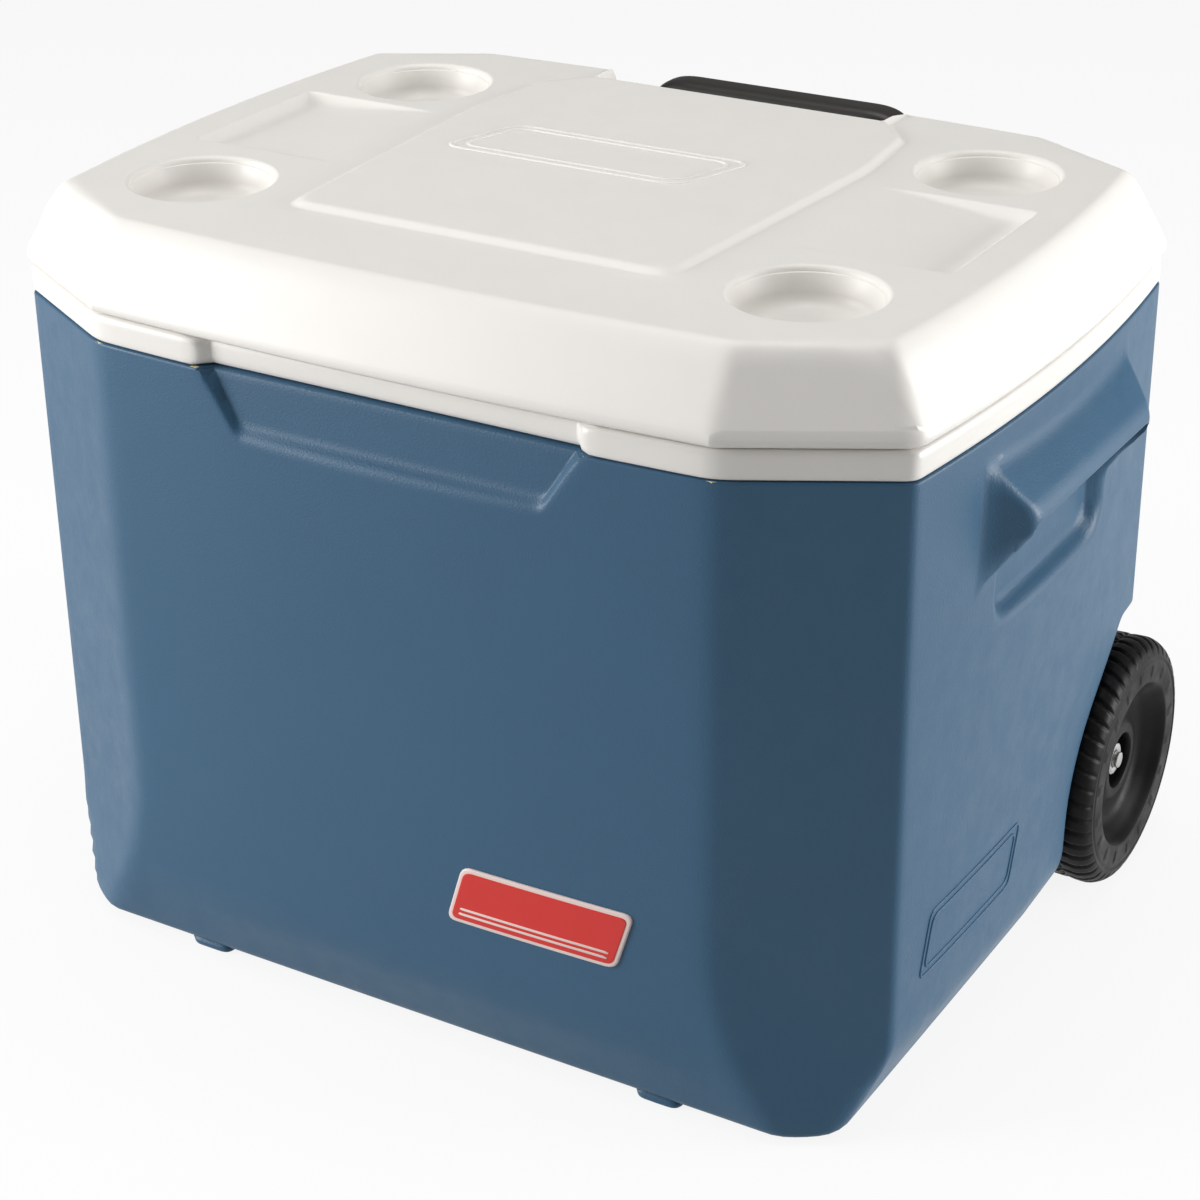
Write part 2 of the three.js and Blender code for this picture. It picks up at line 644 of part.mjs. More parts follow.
/** Lid side of a hinge: screwed plate with an arm down to the middle knuckle. */
function lidLeaf(side) {
  const x0 = side * hingeX - hingeWidth / 2;
  const middle = side * hingeX;
  const low = lidBottom + 1;
  const plate = box([x0, leafY0, low], [x0 + hingeWidth, leafY1, low + lidLeafHeight]);
  const arm = prismX([[leafY0 + 1.5, low + 6], [leafY0 + 1.5, low - 2], [hingeY - hingeRadius + 1, hingeZ],
    [hingeY + hingeRadius - 1, hingeZ], [leafY1 + 5, low + 6]], middle - centreKnuckle / 2,
      middle + centreKnuckle / 2);
  const knuckle = rod('x', [0, hingeY, hingeZ], hingeRadius, middle - centreKnuckle / 2,
    middle + centreKnuckle / 2);
  const bore = rod('x', [0, hingeY, hingeZ], hingePinRadius + clear, x0, x0 + hingeWidth, 0, smallSteps);
  return cutBy(joined(plate, arm, knuckle), bore, ...screwSites(side, 'lid').map((site) => screwHole(site)));
}

const hingePin = (side) => rod('x', [side * hingeX, hingeY, hingeZ], hingePinRadius,
  -hingeWidth / 2, hingeWidth / 2, 0, smallSteps);

/** Where a leaf's two screws go: x, y of the leaf's outer face, z. */
function screwSites(side, part) {
  const z = part === 'chest' ? hingeZ - leafHeight + 9 : lidBottom + 1 + lidLeafHeight / 2;
  return [-1, 1].map((end) => [side * hingeX + end * (hingeWidth / 2 - 8), leafY1, z]);
}

const screwHole = ([x, y, z]) => rod('y', [x, y, z], screwRadius + clear, -screwLength - 2, 3, 0, smallSteps);

/** Pan-head screw driven along -Y; the site is the middle of its seat. */
const screw = ([x, y, z]) => turned([[0, -screwLength], [screwRadius, -screwLength], [screwRadius, clear],
  [screwHead, clear], [screwHead * 0.8, clear + screwHeadHeight], [0, clear + screwHeadHeight]], 'y',
    [x, y, z], smallSteps);

/** Pilot hole that a screw bites into, in the chest or lid behind its seat. */
const pilot = ([x, y, z]) => rod('y', [x, y, z], screwRadius + clear, -screwLength - 1.5, 1, 0, smallSteps);

// ---- Wheels and axle ---------------------------------------------------------------------------
const wheelInner = wheelFace - wheelWidth;

/** One-piece moulded wheel with a dished outer face and a recessed hub, on the right. */
function wheel(side) {
  const bore = axleRadius + clear;
  const back = [[bore, 0], [hubRadius, 0], [hubRadius, wheelShoulder], [sidewallRadius, wheelShoulder],
    [wheelRadius - 14, wheelShoulder - 5], [wheelRadius - 5, wheelShoulder - 5],
      [wheelRadius, wheelShoulder]];
  const tread = [[wheelRadius, wheelWidth - wheelShoulder], [wheelRadius - 3, wheelWidth - 2.5],
    [wheelRadius - 9, wheelWidth], [sidewallRadius + 8, wheelWidth - 0.5]];
  const dish = [[sidewallRadius, wheelWidth - 8], [sidewallRadius - 12, wheelWidth - dishDepth],
    [hubRadius + 7, wheelWidth - 10], [hubRadius + 2, wheelWidth - 10],
      [hubRadius + 1, wheelWidth - hubRecess],
    [bore, wheelWidth - hubRecess], [bore, 0]];
  const profile = [...back, ...tread, ...dish];
  const right = turned(profile, 'x', [0, wheelY, axleZ], wheelSteps).translate([wheelInner, 0, 0]);
  return side > 0 ? right : mirrorX(right);
}

const hubFace = wheelFace - hubRecess;                      // bottom of the hub's recess
const nutFrom = hubFace + clear;
const axleHalf = nutFrom + nutThickness + axleTip;

const axleRod = () => rod('x', [0, wheelY, axleZ], axleRadius, -axleHalf, axleHalf);

const pushNut = (side) => rod('x', [0, wheelY, axleZ], nutRadius,
  side > 0 ? nutFrom : -nutFrom - nutThickness, side > 0 ? nutFrom + nutThickness : -nutFrom,
    axleRadius + clear);

/** Spacer tube between the pocket's wall and the wheel's hub. */
function spacer(side) {
  const from = pocketWallX + clear;
  const to = wheelInner - clear;
  return rod('x', [0, wheelY, axleZ], hubRadius - 3, side > 0 ? from : -to, side > 0 ? to : -from,
    axleRadius + clear);
}

/** Clip pushed up into the channel to hold the axle against its roof. */
function axleClip(side) {
  const half = channelHalf - clear;
  const top = axleZ + channelHalf - clear;
  const body = box([side * clipX - clipLength / 2, wheelY - half, top - clipHeight],
    [side * clipX + clipLength / 2, wheelY + half, top]);
  const seat = rod('x', [0, wheelY, axleZ], axleRadius + clear, side * clipX - clipLength,
    side * clipX + clipLength);
  return cutBy(body, seat);
}

// ---- Tow handle --------------------------------------------------------------------------------
const middleTubeRadius = outerTubeRadius - tubeWall - clear;
const innerTubeRadius = middleTubeRadius - tubeWall - clear;

const towTube = (side, radius, low, high) => rod('z', [side * towTubeX, towTubeY, 0], radius, low, high,
  radius - tubeWall);

/** Bracket that clamps both outer tubes to the back wall; low is its underside. */
function bracket(low, floor) {
  const front = halfDepth + longBow + clear;
  const right = [[bracketHalf, front], [bracketHalf, bracketBack - bracketChamfer],
    [bracketHalf - bracketChamfer, bracketBack], [towTubeX - bracketBoss, bracketBack],
    [towTubeX - bracketBoss - bracketPad, front + bracketPad]];
  const outline = [...right, ...right.map(([x, y]) => [-x, y]).reverse()];
  const holes = [-1, 1].map((side) => rod('z', [side * towTubeX, towTubeY, 0], outerTubeRadius + clear,
    low + floor, low + bracketHeight + 1));
  return cutBy(prismZ(outline, low, low + bracketHeight), ...holes,
    ...bracketSites(low).map((site) => screwHole(site)));
}

/** Two screws near the middle of a bracket. */
const bracketSites = (low) => [-1, 1].map((side) =>
  [side * bracketScrewX, halfDepth + longBow + clear + bracketPad,
  low + bracketHeight / 2]);
const topBracketLow = tubeTop - bracketHeight;
const bottomBracketLow = tubeBottom - 4 - clear;

/** Tow grip: a bar whose ends taper down, with a socket over each inner tube. */
function towGrip() {
  const low = gripTop - gripHeight;
  const right = [[gripHalf - gripEnd, low], [gripHalf, low + gripEnd],
    [gripHalf - gripEnd, gripTop - gripChamfer],
    [gripTopHalf, gripTop]];
  const outline = [...right, ...right.map(([x, z]) => [-x, z]).reverse()];
  const bar = prismY(outline, towTubeY - gripDepth / 2, towTubeY + gripDepth / 2);
  const y0 = towTubeY - gripDepth / 2;
  const y1 = towTubeY + gripDepth / 2;
  const section = [[y0, low + gripChamfer], [y0 + gripChamfer, low], [y1 - gripChamfer, low],
    [y1, low + gripChamfer],
    [y1, gripTop - gripChamfer], [y1 - gripChamfer, gripTop], [y0 + gripChamfer, gripTop],
      [y0, gripTop - gripChamfer]];
  const rounded = bar.intersect(prismX(section, -gripHalf - 1, gripHalf + 1));
  const necks = [-1, 1].map((side) => rod('z', [side * towTubeX, towTubeY, 0], outerTubeRadius,
    low - gripNeck, low + 2));
  const sockets = [-1, 1].map((side) => rod('z', [side * towTubeX, towTubeY, 0], innerTubeRadius + clear,
    low - gripNeck - 1, low + gripSocket + 1));
  return cutBy(joined(rounded, ...necks), ...sockets);
}

// ---- Drain -------------------------------------------------------------------------------------
const pocketFloorX = -wallX + drainPocketDepth;      // outer face of the drain pocket's floor
const flangeX = pocketFloorX - clear - drainWasherThickness - clear;
const spoutEnd = flangeX - flangeThickness - threadLength - 2;
const spoutInner = -spaceHalfX + drainNutThickness + 2;

/** Threaded spout with its outer flange; it runs in through shell, foam and liner. */
function drainSpout() {
  const profile = [[spoutBore, spoutEnd], [spoutRadius, spoutEnd], [spoutRadius, flangeX - flangeThickness],
    [flangeRadius, flangeX - flangeThickness], [flangeRadius, flangeX], [spoutRadius, flangeX],
    [spoutRadius, spoutInner], [spoutBore, spoutInner], [spoutBore, spoutEnd]];
  return turned(profile, 'x', [0, 0, drainZ]);
}

const drainWasher = () => rod('x', [0, 0, drainZ], flangeRadius - 1,
  pocketFloorX - clear - drainWasherThickness,
  pocketFloorX - clear, spoutRadius + clear);

/** Hexagonal nut on the spout, inside the food space. */
function drainNut() {
  const from = -spaceHalfX + clear;
  const hexagon = rod('x', [0, 0, drainZ], flangeRadius - 1, from, from + drainNutThickness, 0, 6);
  return cutBy(hexagon, rod('x', [0, 0, drainZ], spoutRadius + clear, from - 1,
    from + drainNutThickness + 1));
}

const capOpen = flangeX - flangeThickness - 1;       // open end of the cap, just off the flange
const sealThickness = 1.6;
const sealFace = spoutEnd - clear;

/** Screw cap: a cup over the spout's end. */
function drainCap() {
  const bottom = sealFace - sealThickness - clear;
  const end = capOpen - capLength;
  const profile = [[0, end], [capRadius - 1.5, end], [capRadius, end + 1.5], [capRadius, capOpen],
    [spoutRadius + clear, capOpen], [spoutRadius + clear, bottom], [0, bottom]];
  const grooves = [];
  const ribs = 10;
  for (let index = 0; index < ribs; index += 1) {
    const angle = 2 * Math.PI * index / ribs;
    grooves.push(rod('x', [0, (capRadius + 1) * Math.cos(angle),
      drainZ + (capRadius + 1) * Math.sin(angle)], 2,
      end - 1, capOpen - 3, 0, 8));
  }
  return cutBy(turned(profile, 'x', [0, 0, drainZ]), ...grooves);
}

const drainSeal = () => rod('x', [0, 0, drainZ], spoutRadius - 0.2, sealFace - sealThickness, sealFace);

// ---- Badge -------------------------------------------------------------------------------------
/** Slanted plate on the front wall: a clipped parallelogram whose back follows the bowed wall. */
function badgePlate() {
  const straight = halfLength - facetX;
  const wallHere = halfDepth + longBow * (1 - (badgeX / straight) ** 2);
  const slope = 2 * longBow * badgeX / straight ** 2;
  const h = badgeHeight / 2;
  const l = badgeLength / 2;
  const c = badgeCorner;
  const outline = [[-l + c, -h], [l - c, -h], [l, -h + c], [l, h - c], [l - c, h], [-l + c, h], [-l, h - c],
    [-l, -h + c]].map(([x, z]) => [x + badgeSlant * z / badgeHeight, z]);
  const backing = longBow;                           // sunk this far before its back is cut to the wall
  const geometry = extruded(outline, badgeThickness + backing);
  geometry.rotateX(Math.PI / 2);
  geometry.translate(0, backing, 0);
  geometry.rotateZ(Math.atan(slope));
  geometry.translate(badgeX, -wallHere, badgeZ);
  return cutBy(solid(geometry), chestForm(-clear, rimHeight));
}

// ---- Assembly ----------------------------------------------------------------------------------
const finish = (color, roughness, metalness = 0) => new THREE.MeshStandardMaterial({ color, roughness,
  metalness });
const chestBlue = () => finish(0x48698a, 0.45);
const white = () => finish(0xebe9e4, 0.4);
const blackPlastic = () => finish(0x28241f, 0.5);
const steel = () => finish(0xb4b6b8, 0.3, 0.9);
const aluminium = () => finish(0x9c9ea1, 0.35, 0.9);
const foamFinish = () => finish(0xe6dcae, 0.9);
const rubber = () => finish(0x1c1c1c, 0.8);

const frontReach = halfDepth + longBow + lidOverhang;
const group = new THREE.Group();
group.name = 'wheeled_cooler';
group.position.y = (frontReach - bracketBack) / 2;   // the origin is under the middle of the box

function place(name, body, material) {
  const mesh = new THREE.Mesh(toGeometry(body), material);
  mesh.name = name;
  group.add(mesh);
}

const sides = [[-1, 'left'], [1, 'right']];
const chestSites = sides.flatMap(([side]) => screwSites(side, 'chest'));
const lidSites = sides.flatMap(([side]) => screwSites(side, 'lid'));
const towSites = [...bracketSites(topBracketLow), ...bracketSites(bottomBracketLow)];
const chestPilots = [...chestSites, ...towSites].map((site) => pilot(site));

place('body_shell', cutBy(bodyShell(), ...chestPilots), chestBlue());
place('inner_liner', innerLiner(), white());
place('insulation_foam', cutBy(insulation(), ...chestPilots), foamFinish());
place('lid_shell', cutBy(lidShell(), ...lidSites.map((site) => pilot(site))), white());
place('lid_liner', lidLiner(), white());
place('lid_foam', cutBy(lidFoam(), ...lidSites.map((site) => pilot(site))), foamFinish());
place('badge_plate', badgePlate(), finish(0xd52d26, 0.35));
place('axle_rod', axleRod(), steel());
place('drain_spout', drainSpout(), white());
place('drain_washer', drainWasher(), rubber());
place('drain_nut', drainNut(), white());
place('drain_seal', drainSeal(), rubber());
place('drain_cap', drainCap(), white());
place('handle_top_bracket', bracket(topBracketLow, -1), blackPlastic());
place('handle_bottom_bracket', bracket(bottomBracketLow, 4), blackPlastic());
place('tow_grip', towGrip(), blackPlastic());

for (const [side, word] of sides) {
  place(`hinge_chest_leaf_${word}`, chestLeaf(side), white());
  place(`hinge_lid_leaf_${word}`, lidLeaf(side), white());
  place(`hinge_pin_${word}`, hingePin(side), steel());
  place(`wheel_${word}`, wheel(side), blackPlastic());
  place(`push_nut_${word}`, pushNut(side), steel());
  place(`wheel_spacer_${word}`, spacer(side), blackPlastic());
  place(`axle_clip_${word}`, axleClip(side), blackPlastic());
  place(`outer_tube_${word}`, towTube(side, outerTubeRadius, tubeBottom, tubeTop), aluminium());
  place(`middle_tube_${word}`, towTube(side, middleTubeRadius, tubeBottom + 2, tubeTop + stagePeep),
    aluminium());
  place(`inner_tube_${word}`, towTube(side, innerTubeRadius, tubeBottom + 4,
    gripTop - gripHeight + gripSocket), aluminium());
}

const screwRows = [['hinge_chest_screw', chestSites], ['hinge_lid_screw', lidSites],
  ['bracket_screw', towSites]];
for (const [name, sites] of screwRows) {
  sites.forEach((site, index) => place(`${name}_${index + 1}`, screw(site), steel()));
}

export default group;
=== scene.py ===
"""Wheeled cooler: the visible shapes and finishes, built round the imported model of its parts.

Lengths are metres in the model's own frame: X along the long front, the front faces -Y, Z up.
"""
import logging
import math
from dataclasses import dataclass, field
from enum import Enum
from typing import Callable

import bmesh
import bpy
import numpy as np
from mathutils import Euler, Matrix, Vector


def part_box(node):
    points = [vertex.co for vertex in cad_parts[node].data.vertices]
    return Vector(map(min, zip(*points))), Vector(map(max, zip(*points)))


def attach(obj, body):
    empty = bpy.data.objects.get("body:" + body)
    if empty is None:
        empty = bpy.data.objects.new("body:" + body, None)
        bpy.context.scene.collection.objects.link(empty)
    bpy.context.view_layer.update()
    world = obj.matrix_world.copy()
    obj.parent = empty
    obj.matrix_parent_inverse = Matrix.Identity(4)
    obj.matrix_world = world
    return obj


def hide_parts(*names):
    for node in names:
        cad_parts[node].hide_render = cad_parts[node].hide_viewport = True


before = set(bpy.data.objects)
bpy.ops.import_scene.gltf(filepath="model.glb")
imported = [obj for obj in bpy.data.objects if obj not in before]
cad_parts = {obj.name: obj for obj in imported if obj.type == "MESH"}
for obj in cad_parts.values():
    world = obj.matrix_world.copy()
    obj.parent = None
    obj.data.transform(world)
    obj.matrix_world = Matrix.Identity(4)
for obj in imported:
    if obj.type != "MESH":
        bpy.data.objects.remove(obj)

log = logging.getLogger("cooler")
Array = np.ndarray
Field = Callable[[Array, Array, Array], Array]


# ---- Surfaces -----------------------------------------------------------------------------------
def smooth_max(a: Array, b: Array, width: float) -> Array:
    """Larger of two fields, with the crease between them rounded.

    Within width of each other the two are mixed by their difference, and width * h * (1 - h) is added.

    Args:
        a: first field.
        b: second field.
        width: difference at which the rounding starts.

    Returns:
        The rounded maximum.
    """
    share = np.clip(0.5 + 0.5 * (a - b) / width, 0.0, 1.0)
    return a * share + b * (1.0 - share) + width * share * (1.0 - share)


def smooth_min(a: Array, b: Array, width: float) -> Array:
    """Smaller of two fields, with the crease between them rounded."""
    return -smooth_max(-a, -b, width)


def smooth_step(value: Array, low: float, high: float) -> Array:
    """Zero below low, one above high, and 3t^2 - 2t^3 of the share in between."""
    share = np.clip((value - low) / (high - low), 0.0, 1.0)
    return share * share * (3.0 - 2.0 * share)


def rounded_rectangle(a: Array, b: Array, half_a: float, half_b: float, radius: float) -> Array:
    """Signed distance to a rectangle with round corners: negative inside it.

    Args:
        a: first coordinate from the middle.
        b: second coordinate from the middle.
        half_a: half the size along a.
        half_b: half the size along b.
        radius: corner radius.

    Returns:
        The distance to the outline.
    """
    over_a = np.abs(a) - half_a + radius
    over_b = np.abs(b) - half_b + radius
    outside = np.hypot(np.maximum(over_a, 0.0), np.maximum(over_b, 0.0))
    return outside + np.minimum(np.maximum(over_a, over_b), 0.0) - radius


def spread(low: float, high: float, count: int, crowds: list[tuple[float, float, float]]) -> Array:
    """Stations from low to high that crowd together round given places.

    The density is one plus a bell of each crowd's gain and reach, and the stations divide its integral
    into equal shares.

    Args:
        low: first station.
        high: last station.
        count: number of stations.
        crowds: place, reach and gain of each crowd.

    Returns:
        The stations in rising order.
    """
    fine = np.linspace(low, high, 8001)
    density = np.ones_like(fine)
    for place, reach, gain in crowds:
        density += gain * np.exp(-(((fine - place) / reach) ** 2))
    total = np.concatenate([[0.0], np.cumsum(0.5 * (density[1:] + density[:-1]))])
    return np.interp(np.linspace(0.0, total[-1], count), total, fine)


def first_crossing(solid: Field, angles: Array, heights: Array, reach: tuple[float, float]) -> Array:
    """Distance from the upright axis at which level rays first leave a solid.

    Each ray is stepped outwards until the field turns positive, and the step is then halved again and
    again. It is done for all angles and heights at once.

    Args:
        solid: field of x, y and z, negative inside.
        angles: directions of the rays, one for each column or one row of them for each level.
        heights: levels of the rays.
        reach: nearest and furthest distance searched.

    Returns:
        Distances, one row for each height and one column for each angle.
    """
    angles = np.atleast_2d(angles)
    cos, sin = np.cos(angles), np.sin(angles)
    z = np.broadcast_to(heights[:, None], (len(heights), angles.shape[1]))
    steps = np.linspace(reach[0], reach[1], 60)
    low = np.full(z.shape, reach[0])
    high = np.full(z.shape, reach[1])
    found = np.zeros(z.shape, bool)
    for near, far in zip(steps[:-1], steps[1:]):
        out = (solid(far * cos, far * sin, z) > 0.0) & ~found
        low[out], high[out] = near, far
        found |= out
    for _ in range(16):
        middle = 0.5 * (low + high)
        out = solid(middle * cos, middle * sin, z) > 0.0
        high = np.where(out, middle, high)
        low = np.where(out, low, middle)
    return 0.5 * (low + high)


def ring_points(radii: Array, angles: Array, heights: Array) -> Array:
    """Points at given distances from the upright axis, as rows of rings."""
    z = np.broadcast_to(heights[:, None], radii.shape)
    return np.stack([radii * np.cos(angles), radii * np.sin(angles), z], axis=-1)


def rounded_profile(corners: list[tuple[float, float, float]], steps: int = 5) -> Array:
    """Closed outline whose corners are replaced by arcs.

    Each corner's arc touches both of its sides, and its points come from the quadratic curve through
    the two touching points with the corner as its handle.

    Args:
        corners: first coordinate, second coordinate and reach of the rounding along the sides.
        steps: pieces in each arc.

    Returns:
        The points of the outline in order.
    """
    spots = np.array([corner[:2] for corner in corners])
    reach = np.array([corner[2] for corner in corners])[:, None]
    before = np.roll(spots, 1, axis=0) - spots
    after = np.roll(spots, -1, axis=0) - spots
    before /= np.linalg.norm(before, axis=1, keepdims=True)
    after /= np.linalg.norm(after, axis=1, keepdims=True)
    start, end = spots + before * reach, spots + after * reach
    t = np.linspace(0.0, 1.0, steps + 1)[None, :, None]
    arcs = (1 - t) ** 2 * start[:, None] + 2 * t * (1 - t) * spots[:, None] + t ** 2 * end[:, None]
    return arcs.reshape(-1, 2)


def refined(outline: Array, step: float) -> Array:
    """Closed outline divided so that no side is longer than a step.

    Args:
        outline: points of the closed outline.
        step: longest side left.

    Returns:
        The divided outline.
    """
    closed = np.vstack([outline, outline[:1]])
    length = np.concatenate([[0.0], np.cumsum(np.linalg.norm(np.diff(closed, axis=0), axis=1))])
    regular = np.arange(0.0, length[-1], step)
    stations = np.unique(np.concatenate([length[:-1], regular]))
    keep = np.concatenate([[True], np.diff(stations) > step * 0.2])
    stations = stations[keep]
    return np.stack([np.interp(stations, length, closed[:, k]) for k in range(2)], axis=1)


class Shape:
    """Points and faces of one piece, gathered from grids."""

    def __init__(self) -> None:
        """Starts with nothing in it."""
        self.points: list[Array] = []
        self.faces: list[list[int]] = []
        self.count = 0

    def add_points(self, points: Array) -> int:
        """Adds loose points and gives the number of the first.

        Args:
            points: rows of x, y and z.

        Returns:
            The number of the first point.
        """
        first = self.count
        self.points.append(points.reshape(-1, 3))
        self.count += self.points[-1].shape[0]
        return first

    def add_grid(self, points: Array, wrap_columns: bool = True, wrap_rows: bool = False,
                 first_pole: Array | None = None, last_pole: Array | None = None) -> int:
        """Adds a grid of points as quadrilaterals, with fans to poles at its first and last rows.

        Args:
            points: rows by columns by three.
            wrap_columns: the last column meets the first.
            wrap_rows: the last row meets the first.
            first_pole: point that closes the first row.
            last_pole: point that closes the last row.

        Returns:
            The number of the grid's first point.
        """
        rows, columns = points.shape[:2]
        base = self.add_points(points)
        number = base + np.arange(rows * columns).reshape(rows, columns)
        across = np.roll(number, -1, axis=1) if wrap_columns else number[:, 1:]
        here = number if wrap_columns else number[:, :-1]
        upper, upper_across = np.roll(here, -1, axis=0), np.roll(across, -1, axis=0)
        last = rows if wrap_rows else rows - 1
        quads = np.stack([here[:last], across[:last], upper_across[:last], upper[:last]], axis=-1)
        self.faces += quads.reshape(-1, 4).tolist()
        for pole, row, turn in ((first_pole, 0, -1), (last_pole, rows - 1, 1)):
            if pole is None:
                continue
            tip = self.add_points(np.asarray(pole, float))
            edge, beside = number[row], np.roll(number[row], -1)
            order = (edge, beside) if turn > 0 else (beside, edge)
            fan = np.stack([order[0], order[1], np.full_like(edge, tip)], axis=-1)
            self.faces += fan.tolist()
        return base

    def add_turned(self, profile: Array, steps: int, axis: str, centre: tuple[float, float, float],
                   closed: bool = False) -> None:
        """Adds a profile turned about an axis through centre.

        Args:
            profile: station along the axis and radius of each point; radius zero becomes a pole.
            steps: pieces round the axis.
            axis: x or z.
            centre: a point on the axis.
            closed: the profile's last point meets its first.
        """
        turn = np.linspace(0.0, 2.0 * np.pi, steps, endpoint=False)[None, :]
        along = np.broadcast_to(profile[:, :1], (len(profile), steps))
        one, two = profile[:, 1:] * np.cos(turn), profile[:, 1:] * np.sin(turn)
        stacked = {"x": (along, one, two), "z": (one, two, along)}[axis]
        grid = np.stack(stacked, axis=-1) + np.asarray(centre)
        if closed:
            self.add_grid(grid, wrap_rows=True)
            return
        open_ends = grid[1:-1]
        self.add_grid(open_ends, first_pole=grid[0, 0], last_pole=grid[-1, 0])

    def piece(self, name: str) -> bpy.types.Object:
        """Makes the gathered faces one object with its faces outwards and smooth.

        Args:
            name: the piece's name.

        Returns:
            The new object.
        """
        mesh = bpy.data.meshes.new(name)
        mesh.from_pydata(np.vstack(self.points).tolist(), [], self.faces)
        tidy_faces(mesh, 1e-7)
        return new_object(name, mesh)


def tidy_faces(mesh: bpy.types.Mesh, nearness: float) -> None:
    """Merges doubled points, turns the faces outwards and shades them smooth.

    Args:
        mesh: mesh to clean, changed in place.
        nearness: distance under which points are merged.
    """
    work = bmesh.new()
    work.from_mesh(mesh)
    bmesh.ops.remove_doubles(work, verts=work.verts, dist=nearness)
    bmesh.ops.recalc_face_normals(work, faces=work.faces)
    for face in work.faces:
        face.smooth = True
    work.to_mesh(mesh)
    work.free()


def new_object(name: str, mesh: bpy.types.Mesh) -> bpy.types.Object:
    """Puts a mesh into the scene as an object at the origin.

    Args:
        name: name of the object.
        mesh: mesh that it shows.

    Returns:
        The object, linked to the scene.
    """
    made = bpy.data.objects.new(name, mesh)
    bpy.context.scene.collection.objects.link(made)
    return made


def settled(piece: bpy.types.Object) -> bpy.types.Object:
    """Applies a piece's modifiers to its mesh.

    Args:
        piece: piece whose modifiers are applied.

    Returns:
        The same piece.
    """
    graph = bpy.context.evaluated_depsgraph_get()
    mesh = bpy.data.meshes.new_from_object(piece.evaluated_get(graph))
    piece.modifiers.clear()
    piece.data = mesh
    return piece


def cut_by(piece: bpy.types.Object, cutter: bpy.types.Object) -> bpy.types.Object:
    """Cuts one closed piece out of another and removes the cutter.

    Args:
        piece: what is cut.
        cutter: what is taken away.

    Returns:
        The cut piece.
    """
    cut = piece.modifiers.new("cut", "BOOLEAN")
    cut.operation = "DIFFERENCE"
    cut.solver = "MANIFOLD"
    cut.object = cutter
    bpy.context.view_layer.update()
    settled(piece)
    bpy.data.objects.remove(cutter)
    piece.data.set_sharp_from_angle(angle=math.radians(38))
    return piece


def softened(node: str, edge: float, segments: int = 2, angle: float = 35.0) -> bpy.types.Object:
    """Copy of a modelled node with its hard edges rounded, which stands for the node.

    Args:
        node: the node's name.
        edge: width of the rounding.
        segments: pieces across the rounding.
        angle: edges sharper than this many degrees are rounded.

    Returns:
        The rounded copy.
    """
    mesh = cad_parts[node].data.copy()
    mesh.materials.clear()
    work = bmesh.new()
    work.from_mesh(mesh)
    bmesh.ops.remove_doubles(work, verts=work.verts, dist=1e-6)
    bmesh.ops.dissolve_limit(work, angle_limit=math.radians(0.5), verts=work.verts, edges=work.edges)
    for face in work.faces:
        face.smooth = True
    work.to_mesh(mesh)
    work.free()
    copy = new_object(f"{node}_moulded", mesh)
    rounding = copy.modifiers.new("edges", "BEVEL")
    rounding.width = edge
    rounding.segments = segments
    rounding.limit_method = "ANGLE"
    rounding.angle_limit = math.radians(angle)
    rounding.harden_normals = True
    settled(copy)
    copy.data.set_sharp_from_angle(angle=math.radians(30))
    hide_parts(node)
    return copy


# ---- Finishes -----------------------------------------------------------------------------------
def linear(colour: tuple[int, int, int]) -> tuple[float, float, float, float]:
    """Linear colour of an 8-bit display colour.

    Args:
        colour: red, green and blue from 0 to 255.

    Returns:
        Linear red, green and blue, with an alpha of one.
    """
    share = np.array(colour) / 255.0
    value = np.where(share <= 0.04045, share / 12.92, ((share + 0.055) / 1.055) ** 2.4)
    return (*value.tolist(), 1.0)


